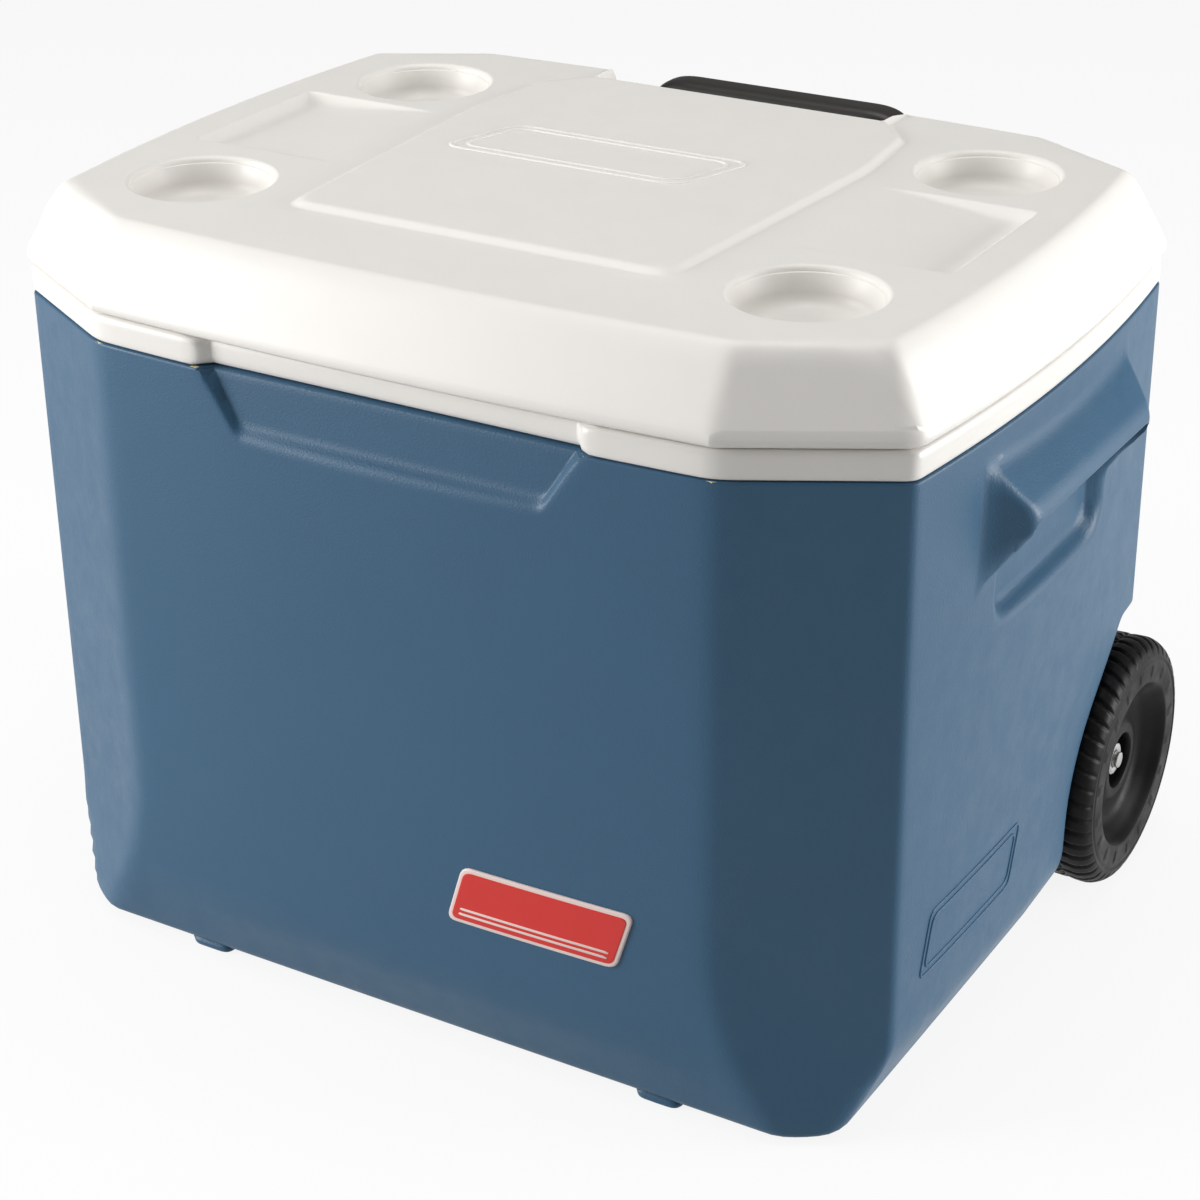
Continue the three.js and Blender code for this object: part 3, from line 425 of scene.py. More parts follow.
class NodeSketch:
    """A material's nodes, with short calls that add and join them."""

    def __init__(self, name: str) -> None:
        """Starts a material with one shader.

        Args:
            name: name of the material.
        """
        self.material = bpy.data.materials.new(name)
        self.material.use_nodes = True
        self.tree = self.material.node_tree
        self.shader = self.tree.nodes["Principled BSDF"]
        self.place = self.node("ShaderNodeTexCoord").outputs["Object"]

    def node(self, kind: str, **values: object) -> bpy.types.Node:
        """Adds a node and sets its properties and unlinked inputs.

        Args:
            kind: the node's type.
            values: a property's name, or an input's name with underscores for spaces.

        Returns:
            The node.
        """
        made = self.tree.nodes.new(kind)
        for key, value in values.items():
            if hasattr(made, key):
                setattr(made, key, value)
            else:
                made.inputs[key.replace("_", " ")].default_value = value
        return made

    def link(self, output: bpy.types.NodeSocket, target: bpy.types.NodeSocket) -> None:
        """Joins an output to an input."""
        self.tree.links.new(output, target)

    def noise(self, scale: float, detail: float = 2.0, rough: float = 0.5,
              stretch: tuple[float, float, float] = (1, 1, 1)) -> bpy.types.NodeSocket:
        """Cloudy noise over the piece's own place, with so many cells to a metre.

        Args:
            scale: cells to a metre.
            detail: finer layers added.
            rough: share of each finer layer.
            stretch: scale along each axis.

        Returns:
            Socket with the noise.
        """
        mapping = self.node("ShaderNodeMapping", Scale=stretch)
        self.link(self.place, mapping.inputs["Vector"])
        texture = self.node("ShaderNodeTexNoise", Scale=scale, Detail=detail, Roughness=rough)
        self.link(mapping.outputs["Vector"], texture.inputs["Vector"])
        return texture.outputs["Fac"]

    def cells(self, scale: float, feature: str = "F1") -> bpy.types.NodeSocket:
        """Distance to the middle of the nearest of so many cells to a metre.

        Args:
            scale: cells to a metre.
            feature: which distance is read.

        Returns:
            Socket with the distance.
        """
        texture = self.node("ShaderNodeTexVoronoi", feature=feature, Scale=scale)
        self.link(self.place, texture.inputs["Vector"])
        return texture.outputs["Distance"]

    def ranged(self, value: bpy.types.NodeSocket, low: float, high: float,
               start: float = 0.3, end: float = 0.7) -> bpy.types.NodeSocket:
        """Value carried from start..end to low..high.

        Args:
            value: what is carried.
            low: lower end of the result.
            high: upper end of the result.
            start: value that gives low.
            end: value that gives high.

        Returns:
            Socket with the result.
        """
        node = self.node("ShaderNodeMapRange", From_Min=start, From_Max=end, To_Min=low, To_Max=high)
        self.link(value, node.inputs["Value"])
        return node.outputs["Result"]

    def mixed(self, share: bpy.types.NodeSocket, one: tuple, two: tuple) -> bpy.types.NodeSocket:
        """Colour between one and two by share.

        Args:
            share: nothing gives one, full gives two.
            one: first colour.
            two: second colour.

        Returns:
            Socket with the colour.
        """
        node = self.node("ShaderNodeMix", data_type="RGBA")
        self.link(share, node.inputs["Factor"])
        for socket in node.inputs:
            if socket.type == "RGBA":
                socket.default_value = one if socket.name == "A" else two
        return next(socket for socket in node.outputs if socket.type == "RGBA")

    def bumps(self, height: bpy.types.NodeSocket, distance: float, strength: float = 1.0,
              below: bpy.types.NodeSocket | None = None) -> bpy.types.NodeSocket:
        """Adds a relief of the given depth on top of another.

        Args:
            height: socket with the relief.
            distance: depth of the relief.
            strength: share of it that shows.
            below: relief it lies on.

        Returns:
            Socket with the relief.
        """
        node = self.node("ShaderNodeBump", Distance=distance, Strength=strength)
        self.link(height, node.inputs["Height"])
        if below is not None:
            self.link(below, node.inputs["Normal"])
        return node.outputs["Normal"]

    def finish(self, colour: bpy.types.NodeSocket, roughness: bpy.types.NodeSocket,
               normal: bpy.types.NodeSocket) -> bpy.types.Material:
        """Joins colour, roughness and relief to the shader and gives the material.

        Args:
            colour: socket with the base colour.
            roughness: socket with the roughness.
            normal: socket with the relief.

        Returns:
            The material.
        """
        self.link(colour, self.shader.inputs["Base Color"])
        self.link(roughness, self.shader.inputs["Roughness"])
        self.link(normal, self.shader.inputs["Normal"])
        return self.material


def shade(colour: tuple[int, int, int], share: float) -> tuple[float, float, float, float]:
    """Linear colour made lighter or darker by a share."""
    red, green, blue, _ = linear(colour)
    return (min(red * share, 1.0), min(green * share, 1.0), min(blue * share, 1.0), 1.0)


@dataclass(frozen=True)
class MouldedPlastic:
    """Moulded plastic with a fine leather grain, faint clouds in its colour and a satin gloss."""

    name: str
    colour: tuple[int, int, int]
    roughness: float
    grain: float = 0.0011
    relief: float = 0.00006
    clouds: float = 0.05
    shine: float = 0.5

    def material(self) -> bpy.types.Material:
        """Builds the finish.

        Returns:
            The material.
        """
        sketch = NodeSketch(self.name)
        sketch.shader.inputs["Specular IOR Level"].default_value = self.shine
        cloud = sketch.noise(9.0, 4.0, 0.6)
        colour = sketch.mixed(sketch.ranged(cloud, 0.0, 1.0), shade(self.colour, 1.0 - self.clouds),
                              shade(self.colour, 1.0 + self.clouds))
        rough = sketch.ranged(sketch.noise(60.0, 4.0, 0.65), self.roughness - 0.05, self.roughness + 0.06)
        swell = sketch.bumps(sketch.noise(22.0, 2.0, 0.4), 0.0002, 0.15)
        pebbles = sketch.bumps(sketch.cells(1.0 / self.grain), self.relief, 0.7, swell)
        fine = sketch.bumps(sketch.noise(2.4 / self.grain, 2.0, 0.6), self.relief * 0.6, 0.6, pebbles)
        return sketch.finish(colour, rough, fine)


@dataclass(frozen=True)
class TyrePlastic:
    """Black moulded plastic with cloudy patches of dust and rubbed, shinier patches."""

    name: str
    colour: tuple[int, int, int]
    roughness: float
    dust: tuple[int, int, int] = (34, 32, 29)

    def material(self) -> bpy.types.Material:
        """Builds the finish.

        Returns:
            The material.
        """
        sketch = NodeSketch(self.name)
        sketch.shader.inputs["Specular IOR Level"].default_value = 0.16
        share = sketch.ranged(sketch.noise(35.0, 6.0, 0.7), 0.0, 0.22, 0.45, 0.8)
        colour = sketch.mixed(share, linear(self.colour), linear(self.dust))
        rough = sketch.ranged(sketch.noise(48.0, 5.0, 0.6), self.roughness - 0.08, self.roughness + 0.12)
        skin = sketch.bumps(sketch.noise(900.0, 3.0, 0.6), 0.00005, 0.6)
        return sketch.finish(colour, rough, skin)


@dataclass(frozen=True)
class DrawnMetal:
    """Metal with fine lines along the way it was drawn or turned."""

    name: str
    colour: tuple[int, int, int]
    roughness: float
    stretch: tuple[float, float, float] = (1.0, 1.0, 0.02)

    def material(self) -> bpy.types.Material:
        """Builds the finish.

        Returns:
            The material.
        """
        sketch = NodeSketch(self.name)
        sketch.shader.inputs["Metallic"].default_value = 1.0
        lines = sketch.noise(1600.0, 3.0, 0.6, self.stretch)
        colour = sketch.mixed(sketch.ranged(sketch.noise(20.0, 3.0), 0.0, 1.0), shade(self.colour, 0.92),
                              shade(self.colour, 1.05))
        rough = sketch.ranged(lines, self.roughness - 0.06, self.roughness + 0.1)
        return sketch.finish(colour, rough, sketch.bumps(lines, 0.00003, 0.5))


@dataclass(frozen=True)
class CellularFoam:
    """Rigid foam: pale, matt and full of fine cells."""

    name: str
    colour: tuple[int, int, int]
    cell: float = 0.0012

    def material(self) -> bpy.types.Material:
        """Builds the finish.

        Returns:
            The material.
        """
        sketch = NodeSketch(self.name)
        cells = sketch.cells(1.0 / self.cell)
        colour = sketch.mixed(sketch.ranged(cells, 0.0, 1.0, 0.0, 0.6), shade(self.colour, 0.86),
                              shade(self.colour, 1.04))
        rough = sketch.ranged(sketch.noise(80.0), 0.85, 0.95)
        return sketch.finish(colour, rough, sketch.bumps(cells, 0.0005, 0.8))


class Dress(Enum):
    """The cooler's finishes."""

    CHEST = MouldedPlastic("chest_plastic", (52, 89, 117), 0.42, relief=0.00012, clouds=0.025,
                           shine=0.32)
    LID = MouldedPlastic("lid_plastic", (230, 227, 222), 0.42, grain=0.0009, relief=0.00003, clouds=0.012,
                         shine=0.45)
    LINER = MouldedPlastic("liner_plastic", (228, 225, 220), 0.36, grain=0.0012, relief=0.00002, clouds=0.015)
    GRIP = MouldedPlastic("grip_plastic", (33, 30, 27), 0.46, grain=0.0009, relief=0.00004, clouds=0.08)
    TYRE = TyrePlastic("tyre_plastic", (12, 11, 10), 0.45)
    BADGE_FIELD = MouldedPlastic("badge_red", (208, 38, 30), 0.34, grain=0.002, relief=0.00001, clouds=0.03)
    BADGE_EDGE = MouldedPlastic("badge_border", (228, 208, 202), 0.4, grain=0.002, relief=0.00001,
                                clouds=0.03)
    TUBE = DrawnMetal("tube_metal", (184, 186, 189), 0.3)
    STEEL = DrawnMetal("zinc_steel", (190, 190, 188), 0.32, stretch=(0.05, 1.0, 1.0))
    RUBBER = TyrePlastic("seal_rubber", (30, 30, 30), 0.62)
    FOAM = CellularFoam("insulation", (226, 214, 170))


class Slot(Enum):
    """The record's material slots, named beside each group of fittings."""

    CHEST = "chest_blue"
    WHITE = "white_plastic"
    FOAM = "insulation"
    BADGE = "badge_red"
    BLACK = "black_plastic"
    TUBE = "tube_metal"
    STEEL = "steel"
    RUBBER = "seal_rubber"


class Wardrobe:
    """Makes each finish once and puts it on pieces."""

    def __init__(self) -> None:
        """Starts with no finish made."""
        self.made: dict[Dress, bpy.types.Material] = {}

    def put(self, dress: Dress, *pieces: bpy.types.Object) -> None:
        """Gives pieces one finish in place of any they have.

        Args:
            dress: finish to put on.
            pieces: objects that take it.
        """
        if dress not in self.made:
            self.made[dress] = dress.value.material()
        for piece in pieces:
            if not piece.material_slots:
                piece.data.materials.append(self.made[dress])
            for slot in piece.material_slots:
                slot.material = self.made[dress]


def fasten(piece: bpy.types.Object, body: str) -> None:
    """Makes a piece move with a body and logs its face count.

    Args:
        piece: object to fasten.
        body: name of the body it moves with.
    """
    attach(piece, body)
    log.info("%s rides on %s, %d faces", piece.name, body, len(piece.data.polygons))


# ---- Chest --------------------------------------------------------------------------------------
@dataclass
class RimPlan:
    """Plan of the rim: an octagon with gently bowed sides, about the middle of the chest."""

    end_bow: float = 0.011
    long_bow: float = 0.006
    facet_x: float = 0.085
    facet_y: float = 0.046
    half_length: float = field(init=False)
    half_depth: float = field(init=False)
    middle_y: float = field(init=False)
    rim: float = field(init=False)

    def __post_init__(self) -> None:
        """Reads the plan's size and place from the modelled liner and shell."""
        low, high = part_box("inner_liner")
        self.half_length = (high.x - low.x) / 2 - self.end_bow
        self.half_depth = (high.y - low.y) / 2 - self.long_bow
        self.middle_y = (high.y + low.y) / 2
        self.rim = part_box("body_shell")[1].z

    @property
    def edge_x(self) -> float:
        """Where a facet meets the long wall."""
        return self.half_length - self.facet_x

    @property
    def edge_y(self) -> float:
        """Where a facet meets the end wall."""
        return self.half_depth - self.facet_y

    def end(self, x: Array, y: Array, bow: float | Array = 1.0) -> Array:
        """Distance outside an end wall, which bows by end_bow * (1 - (y / edge)^2)."""
        return np.abs(x) - self.half_length - self.end_bow * bow * (1.0 - (y / self.edge_y) ** 2)

    def long(self, x: Array, y: Array) -> Array:
        """Distance outside a long wall, which bows by long_bow * (1 - (x / edge)^2)."""
        return np.abs(y) - self.half_depth - self.long_bow * (1.0 - (x / self.edge_x) ** 2)

    def facet(self, x: Array, y: Array) -> Array:
        """Distance outside a corner facet.

        Args:
            x: first plan coordinate, from the middle.
            y: second plan coordinate, from the middle.

        Returns:
            Distance from the facet, negative inside it.
        """
        across = math.hypot(self.facet_x, self.facet_y)
        past_x, past_y = np.abs(x) - self.edge_x, np.abs(y) - self.half_depth
        return (past_x * self.facet_y + past_y * self.facet_x) / across

    def outline(self, x: Array, y: Array, bow: float | Array = 1.0, corner: float = 0.004) -> Array:
        """Distance outside the whole plan, with its corners rounded."""
        walls = smooth_max(self.end(x, y, bow), self.long(x, y), corner)
        return smooth_max(walls, self.facet(x, y), corner)

    def place(self, points: Array) -> Array:
        """Carries points from the middle of the chest into the frame."""
        return points + np.array([0.0, self.middle_y, 0.0])


@dataclass
class FrontRecess:
    """Finger recess under the lid's front edge: a trapezium with sloping sides."""

    floor: float = 0.205
    half_top: float = 0.113
    half_low: float = 0.090
    height: float = 0.036
    side_slope: float = 0.35
    tilt: float = 0.0035
    ledge: float = 0.007

    def hollow(self, plan: RimPlan, x: Array, y: Array, z: Array) -> Array:
        """Distance outside the hollow, negative in it; its sides open outwards.

        Args:
            plan: plan of the rim, for its walls and height.
            x: first plan coordinate, from the middle.
            y: second plan coordinate, from the middle.
            z: height above the ground.

        Returns:
            Negative in the hollow.
        """
        share = np.clip((z - plan.rim + self.height) / self.height, 0.0, 1.0)
        out = -y - self.floor - self.tilt * (1.0 - share)
        half = self.half_low + (self.half_top - self.half_low) * share
        side = (np.abs(x) - half - out * self.side_slope) * 0.72
        below = (plan.rim - self.height + self.ledge - out * 1.1 - z) * 0.67
        return smooth_max(smooth_max(side, below, 0.003), -out, 0.0015)


@dataclass
class EndHandle:
    """Moulded carrying handle on an end wall: a sloping shelf, a round lip, gussets and a finger pocket."""

    reach: float = 0.019
    root: float = 0.101
    lip_half: float = 0.0785
    shelf_drop: float = 0.020
    lip_drop: float = 0.042
    lip_height: float = 0.010
    gusset_drop: float = 0.094
    pocket_half: float = 0.0745
    pocket_drop: float = 0.118
    pocket_depth: float = 0.012
    pocket_corner: float = 0.022

    def bulge(self, plan: RimPlan, x: Array, y: Array, z: Array) -> Array:
        """Distance outside the handle before its pocket is cut: five planes with rounded creases.

        Args:
            plan: plan of the rim, for its walls and height.
            x: first plan coordinate, from the middle.
            y: second plan coordinate, from the middle.
            z: height above the ground.

        Returns:
            Negative in the handle.
        """
        wall = plan.half_length + plan.end_bow
        lip = wall + self.reach
        out, side, drop = np.abs(x), np.abs(y), plan.rim - z
        rise = self.lip_drop - self.shelf_drop
        shelf = ((out - wall) * rise + (self.shelf_drop - drop) * self.reach) / math.hypot(rise, self.reach)
        lip_low = self.lip_drop + self.lip_height
        fall = self.gusset_drop - lip_low
        deep = self.reach + plan.end_bow + 0.004
        under = ((out - lip) * fall + (drop - lip_low) * deep) / math.hypot(fall, deep)
        taper = self.root - self.lip_half
        gusset = ((out - lip) * taper + (side - self.lip_half) * deep) / math.hypot(taper, deep)
        form = smooth_max(shelf, out - lip, 0.005)
        form = smooth_max(smooth_max(form, gusset, 0.004), under, 0.003)
        return np.maximum(form, wall - 0.030 - out)

    def pocket(self, plan: RimPlan, x: Array, y: Array, z: Array) -> Array:
        """Distance outside the finger pocket, whose walls slope and whose lower corners are round.

        Args:
            plan: plan of the rim, for its walls and height.
            x: first plan coordinate, from the middle.
            y: second plan coordinate, from the middle.
            z: height above the ground.

        Returns:
            Negative in the pocket.
        """
        wall = plan.half_length + plan.end_bow
        floor = wall - self.pocket_depth
        low = plan.rim - self.pocket_drop
        high = plan.rim - self.lip_drop - 0.008
        tall = high + self.pocket_corner - low
        face = rounded_rectangle(y, z - (low + tall / 2), self.pocket_half, tall / 2, self.pocket_corner)
        sloped = face * 0.8 + np.clip(wall - np.abs(x), 0.0, None) * 0.6
        return smooth_max(smooth_max(sloped, z - high, 0.003), floor - np.abs(x), 0.003)


@dataclass
class WheelPocket:
    """Arch-shaped pocket for a wheel, open at the back and below."""

    wheel_y: float
    axle_z: float
    radius: float = 0.085
    wall: float = 0.238
    roof: float = 0.178
    turn: float = math.radians(50)

    def edge(self, z: Array) -> Array:
        """Front edge of the pocket at each level: upright, then round the wheel, then a straight slope.

        Args:
            z: height above the ground.

        Returns:
            Plan coordinate of the edge at each level.
        """
        level = np.minimum(z, self.roof)
        touch_y = self.wheel_y - self.radius * math.cos(self.turn)
        touch_z = self.axle_z + self.radius * math.sin(self.turn)
        arc = self.wheel_y - np.sqrt(np.maximum(self.radius ** 2 - (level - self.axle_z) ** 2, 0.0))
        sloping = touch_y + (level - touch_z) * math.tan(self.turn)
        upper = np.where(level < touch_z, arc, sloping)
        return np.where(level < self.axle_z, self.wheel_y - self.radius, upper)

    def hollow(self, x: Array, y: Array, z: Array) -> Array:
        """Distance outside the pocket: an arc between an upright line and a sloping one, under a roof.

        Args:
            x: first plan coordinate, from the middle.
            y: second plan coordinate, from the middle.
            z: height above the ground.

        Returns:
            Negative in the hollow.
        """
        cos, sin = math.cos(self.turn), math.sin(self.turn)
        touch_y, touch_z = self.wheel_y - self.radius * cos, self.axle_z + self.radius * sin
        upright = self.wheel_y - self.radius - y
        sloping = -(y - touch_y) * cos + (z - touch_z) * sin
        arc = np.hypot(y - self.wheel_y, z - self.axle_z) - self.radius
        beyond = (y - touch_y) * sin + (z - touch_z) * cos > 0.0
        arch = np.where(z < self.axle_z, upright, np.where(beyond, sloping, arc))
        return smooth_max(smooth_max(arch, z - self.roof, 0.004), self.wall - np.abs(x), 0.002)


@dataclass
class ChestShell:
    """Coloured outer shell with its recess, handles, wheel pockets, drain pocket and feet."""

    plan: RimPlan
    wall: float = 0.003
    flange: float = 0.012
    flange_thick: float = 0.00016
    underside: float = 0.004
    long_knee: float = 0.093
    end_knee: float = 0.052
    bevel_height: float = 0.046
    bottom_half_x: float = 0.252
    bottom_half_y: float = 0.199
    bottom_corner: float = 0.030
    drain_half: float = 0.027
    drain_depth: float = 0.014
    hinge_x: float = 0.150
    hinge_half: float = 0.024
    hinge_seat: float = 0.2085
    hinge_drop: float = 0.046
    columns: int = 530
    recess: FrontRecess = field(default_factory=FrontRecess)
    handle: EndHandle = field(default_factory=EndHandle)
    pocket: WheelPocket = field(init=False)

    def __post_init__(self) -> None:
        """Reads the wheel's and the drain's places from the model."""
        low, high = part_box("wheel_right")
        self.pocket = WheelPocket((low.y + high.y) / 2 - self.plan.middle_y, (low.z + high.z) / 2)
        low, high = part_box("drain_cap")
        self.drain_z = (low.z + high.z) / 2

    def foot(self, x: Array, y: Array, z: Array) -> Array:
        """Distance outside the rounded foot, whose half sizes grow with height up the bevels.

        Args:
            x: first plan coordinate, from the middle.
            y: second plan coordinate, from the middle.
            z: height above the ground.

        Returns:
            Negative inside the foot.
        """
        up = z - self.underside
        plan = self.plan
        bow_x = 0.35 * plan.end_bow * np.clip(1.0 - (y / plan.edge_y) ** 2, 0.0, None)
        bow_y = plan.long_bow * np.clip(1.0 - (x / plan.edge_x) ** 2, 0.0, None)
        grow_x = (plan.half_length + bow_x - self.bottom_half_x) / (self.end_knee - self.underside)
        grow_y = (plan.half_depth + bow_y - self.bottom_half_y) / (self.bevel_height - self.underside)
        half_x = self.bottom_half_x + grow_x * up
        half_y = self.bottom_half_y + grow_y * up
        return 0.92 * rounded_rectangle(x, y, half_x, half_y, self.bottom_corner) - 0.0004

    def corner(self, x: Array, y: Array, z: Array) -> Array:
        """Distance outside a corner: the upright facet, or the ramp that swells out of its foot.

        Args:
            x: first plan coordinate, from the middle.
            y: second plan coordinate, from the middle.
            z: height above the ground.

        Returns:
            Negative inside the corner.
        """
        plan = self.plan
        one = np.array([plan.edge_x, plan.half_depth, self.long_knee])
        two = np.array([plan.half_length, plan.edge_y, self.end_knee])
        slant = self.bottom_corner / math.sqrt(2)
        inner_x, inner_y = self.bottom_half_x - self.bottom_corner, self.bottom_half_y - self.bottom_corner
        three = np.array([inner_x + slant, inner_y + slant, self.underside])
        normal = np.cross(two - one, three - one)
        normal *= math.copysign(1.0, normal[0]) / np.linalg.norm(normal)
        ramp = (np.abs(x) - one[0]) * normal[0] + (np.abs(y) - one[1]) * normal[1] + (z - one[2]) * normal[2]
        return smooth_min(plan.facet(x, y), ramp, 0.004)

    def outside(self, x: Array, y: Array, z: Array) -> Array:
        """Distance outside the shell's outer face, with every hollow cut and the handles added.

        Args:
            x: first plan coordinate, from the middle.
            y: second plan coordinate, from the middle.
            z: height above the ground.

        Returns:
            Negative in the solid.
        """
        plan = self.plan
        bow = 0.35 + 0.65 * np.clip((z - self.end_knee) / (plan.rim - self.end_knee), 0.0, 1.0)
        walls = smooth_max(plan.end(x, y, bow), plan.long(x, y), 0.004)
        walls = smooth_max(walls, self.corner(x, y, z), 0.004)
        form = smooth_max(walls, self.foot(x, y, z), 0.004)
        form = smooth_max(form, self.underside - z, 0.006)
        form = smooth_min(form, self.handle.bulge(plan, x, y, z), 0.004)
        form = smooth_max(form, z - plan.rim, 0.0018)
        drain = smooth_max(rounded_rectangle(y, z - self.drain_z, self.drain_half, self.drain_half, 0.006),
                           x + plan.half_length + plan.end_bow - self.drain_depth, 0.002)
        seat = np.maximum(np.maximum(self.hinge_seat - y, np.abs(np.abs(x) - self.hinge_x) - self.hinge_half),
                          plan.rim - self.hinge_drop - z)
        hollows = ((self.recess.hollow(plan, x, y, z), 0.0035), (self.handle.pocket(plan, x, y, z), 0.004),
                   (self.pocket.hollow(x, y, z), 0.004), (drain, 0.003), (seat, 0.0015))
        for hollow, edge in hollows:
            form = smooth_max(form, -hollow, edge)
        return form

    def angles(self) -> Array:
        """Directions of the skin's columns, crowded at creases and hollows.

        Returns:
            Directions in rising order.
        """
        plan, pocket = self.plan, self.pocket
        wall = plan.half_length + plan.end_bow
        front = -plan.half_depth
        handle, recess = self.handle, self.recess
        spots = [(plan.edge_x, front, 0.010, 7), (plan.half_length, -plan.edge_y, 0.010, 7),
                 (recess.half_top, front, 0.009, 7), (recess.half_low, front, 0.009, 7),
                 (wall, -handle.root, 0.010, 6), (wall, -handle.lip_half, 0.014, 10),
                 (wall, handle.root, 0.010, 6), (wall, handle.lip_half, 0.014, 10),
                 (plan.half_length, plan.edge_y, 0.010, 4), (plan.edge_x, plan.half_depth, 0.010, 4),
                 (wall - 0.006, pocket.wheel_y - pocket.radius, 0.006, 14), (pocket.wall, 0.182, 0.010, 7),
                 (pocket.wall, plan.half_depth, 0.008, 6),
                 (self.hinge_x - self.hinge_half, plan.half_depth, 0.004, 5),
                 (self.hinge_x + self.hinge_half, plan.half_depth, 0.004, 5)]
        crowds = []
        for x, y, reach, gain in spots:
            for side in (1, -1):
                angle = math.atan2(y, side * x) % (2 * math.pi)
                crowds += [(angle + turn, reach, gain) for turn in (-2 * math.pi, 0.0, 2 * math.pi)]
        for y in (-self.drain_half, self.drain_half):
            crowds.append((math.atan2(y, -wall) % (2 * math.pi), 0.012, 5))
        return spread(0.0, 2 * math.pi, self.columns + 1, crowds)[:-1]

    def leaning(self, angles: Array, heights: Array) -> Array:
        """Directions for each level, so that columns follow the recess's sides and the pockets' arches.

        On the front wall a column at x goes to x * half(z) / half_top inside the recess, and beyond it
        the rest of the way to the facet's edge is stretched to suit. On the end walls the column at the
        foot of a wheel pocket's edge goes to that edge's place at each level, and its neighbours follow.

        Args:
            angles: directions at the rim.
            heights: levels.

        Returns:
            One row of directions for each level.
        """
        plan, recess = self.plan, self.recess
        share = np.clip((heights - plan.rim + recess.height) / recess.height, 0.0, 1.0)[:, None]
        half = recess.half_low + (recess.half_top - recess.half_low) * share
        wall = recess.floor + 0.004
        front = np.sin(angles) < -0.2
        x = wall * np.cos(angles) / np.where(front, -np.sin(angles), 1.0)
        size, edge = np.abs(x), plan.edge_x
        within = size * half / recess.half_top
        beyond = edge - (edge - size) * (edge - half) / (edge - recess.half_top)
        moved = np.sign(x) * np.where(size < recess.half_top, within, beyond)
        turned = np.mod(np.arctan2(-wall, moved), 2 * math.pi)
        turned = np.where(front & (size < edge), turned, angles)
        side = plan.half_length + 0.4 * plan.end_bow
        y = side * np.sin(angles) / np.maximum(np.abs(np.cos(angles)), 0.1)
        foot = self.pocket.wheel_y - self.pocket.radius
        fade = np.clip((0.25 - heights) / (0.25 - self.pocket.roof), 0.0, 1.0)
        arch = (foot + (self.pocket.edge(heights) - foot) * fade)[:, None]
        stretch = arch + (y - foot) * (plan.edge_y - arch) / (plan.edge_y - foot)
        followed = np.where(y < foot, y * arch / foot, stretch)
        swung = np.mod(np.arctan2(followed, np.sign(np.cos(angles)) * side), 2 * math.pi)
        return np.where((y > 0.0) & (y < plan.edge_y), swung, turned)

    def heights(self) -> Array:
        """Levels of the skin's rows, crowded at creases and hollows.

        Returns:
            Levels in rising order.
        """
        plan, handle = self.plan, self.handle
        crowds = [(self.underside, 0.004, 40), (self.bevel_height, 0.008, 2), (self.end_knee, 0.006, 2),
                  (self.long_knee, 0.008, 1), (self.pocket.roof, 0.004, 22),
                  (plan.rim - handle.pocket_drop, 0.008, 6), (plan.rim - handle.pocket_drop + 0.02, 0.012, 3),
                  (plan.rim - handle.lip_drop - 0.008, 0.004, 24), (plan.rim - handle.lip_drop, 0.006, 8),
                  (plan.rim - handle.shelf_drop, 0.008, 4), (plan.rim - self.recess.height, 0.006, 7),
                  (self.drain_z - self.drain_half, 0.004, 4), (self.drain_z + self.drain_half, 0.004, 5),
                  (plan.rim, 0.002, 40)]
        return spread(self.underside + 0.00003, plan.rim - 0.00003, 150, crowds)

    def inside(self, x: Array, y: Array, z: Array) -> Array:
        """Distance outside the inner face: the outer form moved in by the wall."""
        return self.outside(x, y, np.minimum(z, self.plan.rim - 0.006)) + self.wall

    def skin(self) -> Shape:
        """Outer face, rim and inner face of the shell as one closed grid of rings.

        Returns:
            The closed skin.
        """
        plan = self.plan
        angles, heights = self.angles(), self.heights()
        leaning = self.leaning(angles, heights)
        outer = ring_points(first_crossing(self.outside, leaning, heights, (0.13, 0.33)), leaning, heights)
        deep = np.concatenate([np.linspace(plan.rim - self.flange_thick, self.pocket.roof + 0.006, 9),
                               self.pocket.roof + np.array([0.0045, 0.0035, 0.0025, 0.001]),
                               np.linspace(self.pocket.roof - 0.008, self.underside + self.wall + 0.0006, 9)])
        inner = ring_points(first_crossing(self.inside, angles, deep, (0.12, 0.33)), angles, deep)
        flange = np.repeat(inner[:1], 2, axis=0)
        flange[..., :2] *= 1.0 - self.flange / np.linalg.norm(flange[..., :2], axis=-1, keepdims=True)
        flange[0, :, 2] = plan.rim - 0.00003
        shape = Shape()
        shares = np.array([0.25, 0.6, 0.9, 0.98])[:, None, None]
        flat = outer[:1] * shares
        flat[..., 2] = self.underside
        floor = inner[-1:] * shares[::-1]
        floor[..., 2] = self.underside + self.wall
        rows = np.concatenate([flat, outer, flange, inner, floor])
        shape.add_grid(plan.place(rows), first_pole=plan.place(np.array([0, 0, self.underside])),
                       last_pole=plan.place(np.array([0, 0, self.underside + self.wall])))
        return shape

